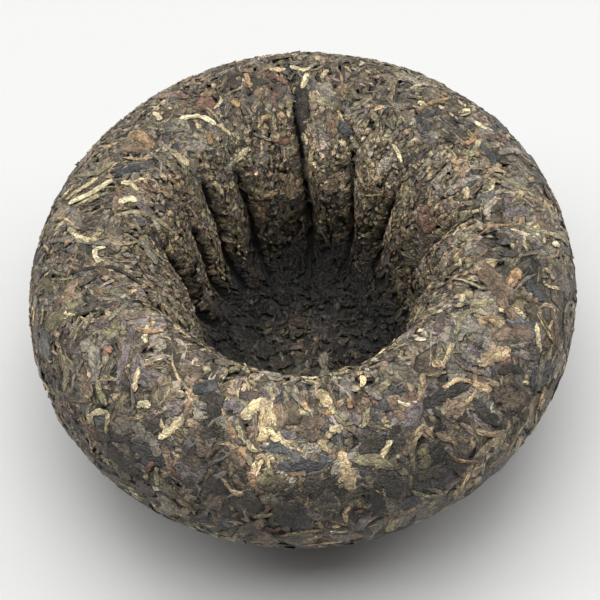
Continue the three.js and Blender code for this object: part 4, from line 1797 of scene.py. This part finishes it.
    Laid(Tone.TAN, 0.6, ((288, 438), (297, 445), (304, 453))),
    Laid(Tone.SLATE, 1.4, ((262, 446), (284, 451), (306, 463))),
    Laid(Tone.SLATE, 2.3, ((276, 464), (302, 466), (334, 458))),
    Laid(Tone.TAN, 0.8, ((254, 458), (262, 455), (268, 466))),
    Laid(Tone.AMBER, 0.6, ((287, 473), (299, 478), (299, 493))),
    Laid(Tone.CHARCOAL, 3.7, ((206, 476), (216, 485), (226, 500))),
    Laid(Tone.STRAW, 0.5, ((221, 478), (232, 492), (244, 493))),
    Laid(Tone.TAN, 2.0, ((340, 452), (345, 472), (352, 492))),
    Laid(Tone.TAN, 0.9, ((334, 478), (345, 480), (356, 470))),
    Laid(Tone.MOSS, 1.4, ((354, 460), (374, 457), (393, 467))),
    Laid(Tone.MOSS, 0.6, ((334, 414), (344, 422), (354, 423))),
    Laid(Tone.STRAW, 1.1, ((329, 430), (336, 428), (343, 428))),
    Laid(Tone.AMBER, 0.9, ((349, 398), (350, 402), (351, 408))),
    Laid(Tone.STRAW, 0.6, ((384, 425), (387, 425), (391, 426))),
    Laid(Tone.LILAC, 1.2, ((411, 404), (413, 414), (419, 424))),
    Laid(Tone.TAN, 1.1, ((413, 470), (412, 446), (424, 429), (434, 438))),
    Laid(Tone.MOSS, 1.2, ((425, 472), (424, 460), (424, 447))),
    Laid(Tone.CREAM, 0.6, ((397, 400), (404, 402), (411, 404))),
    Laid(Tone.CHARCOAL, 1.9, ((422, 407), (445, 393), (470, 387))),
    Laid(Tone.TAN, 0.8, ((440, 389), (454, 380), (470, 381))),
    Laid(Tone.TAN, 1.4, ((473, 384), (481, 387), (490, 389))),
    Laid(Tone.CHARCOAL, 1.9, ((474, 397), (484, 411), (499, 425))),
    Laid(Tone.TAN, 0.9, ((477, 431), (490, 433), (504, 431))),
    Laid(Tone.AMBER, 0.5, ((447, 451), (459, 461), (481, 461))),
    Laid(Tone.BROWN, 1.1, ((437, 433), (452, 440), (469, 441))),
    Laid(Tone.TAN, 2.3, ((477, 362), (492, 354), (511, 350))),
    Laid(Tone.BROWN, 2.2, ((498, 338), (514, 331), (534, 336))),
    Laid(Tone.MOSS, 0.9, ((455, 333), (459, 319), (471, 310), (488, 314))),
    Laid(Tone.ASH, 0.9, ((457, 340), (468, 330), (484, 330))),
    Laid(Tone.LILAC, 2.8, ((463, 343), (472, 352), (484, 362))),
    Laid(Tone.BROWN, 0.6, ((455, 358), (468, 368), (490, 372))),
    Laid(Tone.STRAW, 0.9, ((536, 320), (538, 337), (541, 353))),
    Laid(Tone.TAN, 0.5, ((535, 312), (545, 328), (553, 343))),
    Laid(Tone.ASH, 0.6, ((565, 347), (564, 320), (567, 304), (573, 305), (571, 322))),
    Laid(Tone.TAN, 0.8, ((538, 408), (542, 396), (545, 386))),
    Laid(Tone.CREAM, 0.6, ((521, 382), (525, 382), (529, 383))),
    Laid(Tone.STRAW, 0.6, ((531, 437), (534, 427), (536, 414))),
    Laid(Tone.CREAM, 0.6, ((509, 229), (519, 231), (530, 235), (540, 233))),
    Laid(Tone.STRAW, 0.5, ((523, 233), (525, 244), (528, 251))),
    Laid(Tone.CREAM, 0.6, ((392, 143), (398, 151), (400, 164))),
    Laid(Tone.AMBER, 0.8, ((418, 109), (430, 103), (447, 97))),
    Laid(Tone.STRAW, 0.9, ((418, 101), (422, 102), (426, 105))),
    Laid(Tone.STRAW, 0.8, ((407, 144), (412, 141), (417, 137))),
    Laid(Tone.ASH, 1.6, ((427, 134), (433, 133), (439, 136))),
    Laid(Tone.AMBER, 0.8, ((463, 143), (472, 139), (478, 128))),
    Laid(Tone.STRAW, 1.1, ((477, 121), (482, 126), (494, 130))),
    Laid(Tone.RUST, 0.6, ((484, 134), (494, 136), (506, 142))),
    Laid(Tone.MOSS, 0.9, ((470, 155), (475, 147), (482, 138))),
    Laid(Tone.MOSS, 0.9, ((494, 173), (510, 181), (536, 196))),
    Laid(Tone.STRAW, 0.9, ((464, 186), (465, 192), (466, 199))),
    Laid(Tone.ASH, 1.1, ((432, 180), (437, 188), (441, 196))),
    Laid(Tone.SLATE, 1.4, ((480, 142), (488, 150), (494, 162))),
    Laid(Tone.ASH, 1.4, ((500, 153), (514, 150), (530, 157))),
    Laid(Tone.LILAC, 1.9, ((505, 212), (516, 212), (527, 207))),
    Laid(Tone.MOSS, 0.9, ((524, 226), (545, 231), (566, 240))),
    Laid(Tone.CREAM, 0.9, ((552, 244), (556, 242), (559, 246))),
    Laid(Tone.BROWN, 2.2, ((476, 262), (490, 282), (506, 308))),
    Laid(Tone.AMBER, 1.9, ((509, 285), (514, 276), (519, 268))),
    Laid(Tone.SLATE, 1.9, ((527, 282), (536, 290), (549, 300))),
    Laid(Tone.STRAW, 0.8, ((545, 268), (550, 273), (554, 279))),
    Laid(Tone.STRAW, 0.5, ((543, 281), (549, 286), (560, 288))),
    Laid(Tone.MOSS, 1.2, ((470, 302), (484, 303), (493, 298))),
    Laid(Tone.AMBER, 1.1, ((231, 96), (234, 100), (238, 107))),
    Laid(Tone.RUST, 1.1, ((266, 74), (276, 77), (288, 83))),
    Laid(Tone.AMBER, 0.8, ((245, 72), (247, 79), (251, 87))),
    Laid(Tone.ASH, 0.5, ((245, 105), (251, 112), (254, 124))),
    Laid(Tone.ASH, 0.5, ((252, 131), (262, 137), (272, 140))),
    Laid(Tone.RUST, 0.9, ((271, 137), (281, 140), (291, 141))),
    Laid(Tone.STRAW, 0.9, ((232, 132), (237, 137), (241, 141))),
    Laid(Tone.STRAW, 0.9, ((234, 162), (242, 154), (250, 148))),
    Laid(Tone.AMBER, 1.2, ((262, 198), (271, 194), (278, 190))),
    Laid(Tone.STRAW, 0.8, ((214, 181), (219, 187), (224, 196))),
    Laid(Tone.MOSS, 0.8, ((292, 99), (290, 108), (288, 117))),
    Laid(Tone.STRAW, 0.8, ((290, 66), (300, 68), (309, 66))),
    Laid(Tone.CREAM, 0.8, ((303, 79), (306, 76), (309, 75))),
    Laid(Tone.CHARCOAL, 2.0, ((299, 84), (300, 105), (302, 132))),
    Laid(Tone.TAN, 0.9, ((315, 139), (310, 156), (309, 178))),
    Laid(Tone.RUST, 0.8, ((331, 121), (332, 129), (332, 137))),
    Laid(Tone.SLATE, 1.9, ((338, 124), (344, 130), (350, 136))),
    Laid(Tone.MOSS, 1.4, ((309, 96), (318, 99), (328, 103))),
    Laid(Tone.STRAW, 0.8, ((341, 186), (345, 188), (349, 190))),
    Laid(Tone.AMBER, 0.9, ((206, 131), (209, 137), (210, 144))),
    Laid(Tone.ASH, 0.6, ((222, 134), (226, 150), (230, 162))),
    Laid(Tone.STRAW, 0.8, ((320, 78), (325, 72), (328, 70))),
    Laid(Tone.AMBER, 0.5, ((341, 72), (341, 82), (342, 95))),
)


@dataclass
class HandLaid:
    """The leaves and strips that stand out in the nest, each laid in its own place."""

    form: NestForm
    bits: tuple[Laid, ...] = LAID
    lift: float = 0.53
    broad_drop: float = 0.05
    thick: float = 0.34
    torn: float = 0.3
    crumple: float = 0.06
    blotch: float = 0.35
    edge: float = 0.95
    # painted_edge_shade paints shade on the edges; form_shade and form_mix_and_light are the shares these
    # leaves take of the painted shade of creases and hollow and of the painted light and shade of the mix.
    painted_edge_shade: float = 0.1
    contrast: float = 0.18
    gain: float = 1.2
    shade: float = 0.1
    form_shade: float = 0.6
    form_mix_and_light: float = 0.8
    crisp: float = 40.0
    finish: LeafFinish = LeafFinish(
        "marked_leaf", fibre=0.2, facet=(0.74, 1.26), stain=0.4, hue=0.07, painted_seam_shade=0.45
    )
    seed: int = 19
    seen: SeenForm = field(init=False)

    def __post_init__(self) -> None:
        """Finds what the photograph's pixels see."""
        self.seen = SeenForm(self.form)

    def centre_line(self, bit: Laid, steps: int) -> Array:
        """Stations on the smooth curve through the places of a bit's pixels.

        Each span is the cubic whose slope at a point is half the step from the point before
        to the point after.

        Args:
            bit: The bit.
            steps: How many stations.

        Returns:
            Distance along the profile and angle at each station.
        """
        out, turn = np.array([self.seen.read(pixel) for pixel in bit.line]).T
        knots = np.stack([self.form.crest_arc - out, np.unwrap(np.radians(turn))], axis=1)
        knots = np.concatenate([[2 * knots[0] - knots[1]], knots, [2 * knots[-1] - knots[-2]]])
        place = np.linspace(0, len(bit.line) - 1 - 1e-6, steps)
        low = place.astype(int)
        f = (place - low)[:, None]
        a, b, c, d = (knots[low + k] for k in range(4))
        rise = (c - a) * f / 2 + (2 * a - 5 * b + 4 * c - d) * f**2 / 2
        return b + rise + (3 * b - a - 3 * c + d) * f**3 / 2

    def shell(self) -> Shell:
        """Carries a leaf's section along each line, its edges torn and its ends tapered.

        Returns:
            One shell with a closed surface for each bit.
        """
        rng, cut, count = np.random.default_rng(self.seed), Cut.LAID, len(self.bits)
        lines = np.stack([self.centre_line(bit, cut.stations) for bit in self.bits])
        arc, turn = lines[..., 0, None], lines[..., 1, None]
        radius = np.maximum(np.interp(arc, self.form.arc, self.form.r), 1.0)
        along, aside = np.gradient(arc, axis=1), np.gradient(turn, axis=1) * radius
        step = np.hypot(along, aside)
        x = np.cumsum(step, axis=1)
        u = np.linspace(-1, 1, cut.stations)
        body = (1 - np.abs(u * 0.96) ** rng.uniform(2.5, 8.0, (count, 1))) ** 0.6
        torn = 1 + rng.uniform(-self.torn, self.torn, (count, cut.stations, 2))
        across, up = flat_section(cut.around)
        width = np.array([bit.width for bit in self.bits])[:, None, None]
        y = across * body[..., None] * np.where(across < 0, torn[..., :1], torn[..., 1:]) * width / 2
        thick = self.thick * np.clip(width / 1.5, 0.8, 1.2) * np.clip(body, 0.4, 1)[..., None]
        height = self.lift - self.broad_drop * width + up * thick / 2
        height = height + self.crumple * rng.normal(0, 1, y.shape)
        arc, turn = arc - y * aside / step, turn + y * along / step / radius
        # Painted shade along the edges, times blotches of the leaf's own tone.
        light = np.where(np.abs(across) > self.edge, self.painted_edge_shade, 1.0) * np.ones(y.shape)
        light = light * (1 + self.blotch * smooth_noise(rng, count, cut.stations, 5)[..., None])
        x = np.broadcast_to(x, y.shape)
        return self.closed(rng, [arc, turn, height, x, y, light])

    def closed(self, rng: np.random.Generator, tables: list[Array]) -> Shell:
        """Closes the bits' ends, and gives them their places, marks and tones.

        Args:
            rng: The draw.
            tables: Arc, angle, height, mm along, mm across and light, by bit, station and point.

        Returns:
            The shell.
        """
        count = len(self.bits)
        arc, turn, height, x, y, light = with_ends(tables)
        points = self.form.points(arc, turn, height).reshape(-1, 3) - self.form.shift()
        faces, caps = tube_faces(count, Cut.LAID.stations, Cut.LAID.around)
        spot = rng.uniform(0, UV_SPOTS, (count, 1, 2))
        uv = (np.stack([x, y], axis=-1) / UV_MM + spot).reshape(-1, 2)
        tone = np.array([bit.tone.linear for bit in self.bits])
        own = self.gain * tone * tone.mean(axis=1, keepdims=True) ** self.contrast
        own = own * np.exp(rng.normal(0, self.shade, (count, 1)))
        # Part of the painted shade of creases and hollow, and part of the painted light and shade of the mix.
        light = light * self.form.shade(arc, turn) ** self.form_shade
        light = light * self.form.mix_and_painted_light(arc, turn) ** self.form_mix_and_light
        tint_and_shade = own[:, None, :] * light[..., None]
        return Shell(points, faces, caps, uv, tint_and_shade.reshape(-1, 3))

    def build(self) -> bpy.types.Object:
        """Makes them as one mesh."""
        return self.shell().to_object("marked_leaves", self.finish.make(), self.crisp)


# ---- Floor, lights and camera ----


@dataclass(frozen=True)
class Lamp:
    """A square softbox that faces the nest: degrees, metres and watts."""

    name: str
    turn: float
    rise: float
    size: float
    watts: float
    reach: float = 0.9


LAMPS = (
    Lamp("lamp_above", turn=90, rise=84, size=0.8, watts=13.8),
    Lamp("lamp_left", turn=170, rise=42, size=0.4, watts=2.7),
    Lamp("lamp_right", turn=10, rise=42, size=0.4, watts=2.7),
)


@dataclass
class Studio:
    """A pale floor under soft light, and the camera at the photograph's angle."""

    view: PhotoView = PhotoView()
    lamps: tuple[Lamp, ...] = LAMPS
    floor_radius: float = 2.0
    floor_sides: int = 96
    floor_white: tuple[float, float, float, float] = (0.46, 0.46, 0.455, 1.0)
    floor_rough: float = 0.6
    sky_light: float = 0.17

    def floor(self) -> bpy.types.Object:
        """A wide pale disc, level with the foot."""
        turn = np.arange(self.floor_sides) / self.floor_sides * TURN
        points = np.stack([np.cos(turn), np.sin(turn), 0 * turn], axis=1) * self.floor_radius
        mesh = bpy.data.meshes.new("floor")
        mesh.from_pydata(points.tolist(), [], [list(range(self.floor_sides))])
        nodes = Nodes("floor_white")
        nodes.shader.inputs["Base Color"].default_value = self.floor_white
        nodes.shader.inputs["Roughness"].default_value = self.floor_rough
        mesh.materials.append(nodes.material)
        piece = bpy.data.objects.new("floor", mesh)
        bpy.context.scene.collection.objects.link(piece)
        return piece

    def softbox(self, lamp: Lamp) -> None:
        """Hangs a lamp so that it faces the nest.

        Args:
            lamp: The lamp.
        """
        light = bpy.data.lights.new(lamp.name, "AREA")
        light.energy, light.size = lamp.watts, lamp.size
        holder = bpy.data.objects.new(lamp.name, light)
        bpy.context.scene.collection.objects.link(holder)
        turn, rise = math.radians(lamp.turn), math.radians(lamp.rise)
        flat = math.cos(rise) * lamp.reach
        place = Vector((flat * math.cos(turn), flat * math.sin(turn), math.sin(rise) * lamp.reach))
        holder.location = place
        holder.rotation_euler = (-place).to_track_quat("-Z", "Y").to_euler()

    def light(self) -> None:
        """An even pale sky and softboxes round the nest."""
        world = bpy.data.worlds.new("sky")
        bpy.context.scene.world = world
        world.use_nodes = True
        world.node_tree.nodes.clear()
        background = world.node_tree.nodes.new("ShaderNodeBackground")
        background.inputs["Color"].default_value = (1.0, 1.0, 1.0, 1.0)
        background.inputs["Strength"].default_value = self.sky_light
        output = world.node_tree.nodes.new("ShaderNodeOutputWorld")
        world.node_tree.links.new(background.outputs["Background"], output.inputs["Surface"])
        for lamp in self.lamps:
            self.softbox(lamp)

    def camera(self) -> None:
        """Aims the camera at the nest from the front and above, turned a little on its axis."""
        lens = bpy.data.cameras.new("camera")
        lens.lens, lens.sensor_width, lens.sensor_fit = self.view.focal, self.view.film, "HORIZONTAL"
        lens.clip_start, lens.clip_end = 0.01, 10.0
        holder = bpy.data.objects.new("camera", lens)
        bpy.context.scene.collection.objects.link(holder)
        holder.location = Vector(self.view.place) * MM
        turned = Vector(-self.view.back).to_track_quat("-Z", "Y").to_matrix().to_4x4()
        turned = turned @ Matrix.Rotation(math.radians(self.view.roll), 4, "Z")
        holder.rotation_euler = turned.to_euler()
        bpy.context.scene.camera = holder

    def build(self) -> None:
        """Sets the floor, the lights and the camera."""
        self.floor()
        self.light()
        self.camera()
        bpy.context.scene.view_settings.view_transform = "Standard"


def triangles(piece: bpy.types.Object) -> int:
    """How many triangles a piece has."""
    return sum(len(face.vertices) - 2 for face in piece.data.polygons)


def main() -> None:
    """Builds the core, the layers of leaves over it, and the studio, and reports each."""
    logging.basicConfig(level=logging.INFO, format="%(message)s")
    form = NestForm()
    pieces = [PressedCore(form).build()]
    pieces += [LeafLayer(form, kind).build() for kind in KINDS]
    pieces.append(HandLaid(form).build())
    for piece in pieces:
        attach(piece, BODY)
        LOG.info("%s: %d triangles", piece.name, triangles(piece))
    Studio().build()


if __name__ == "__main__":
    main()
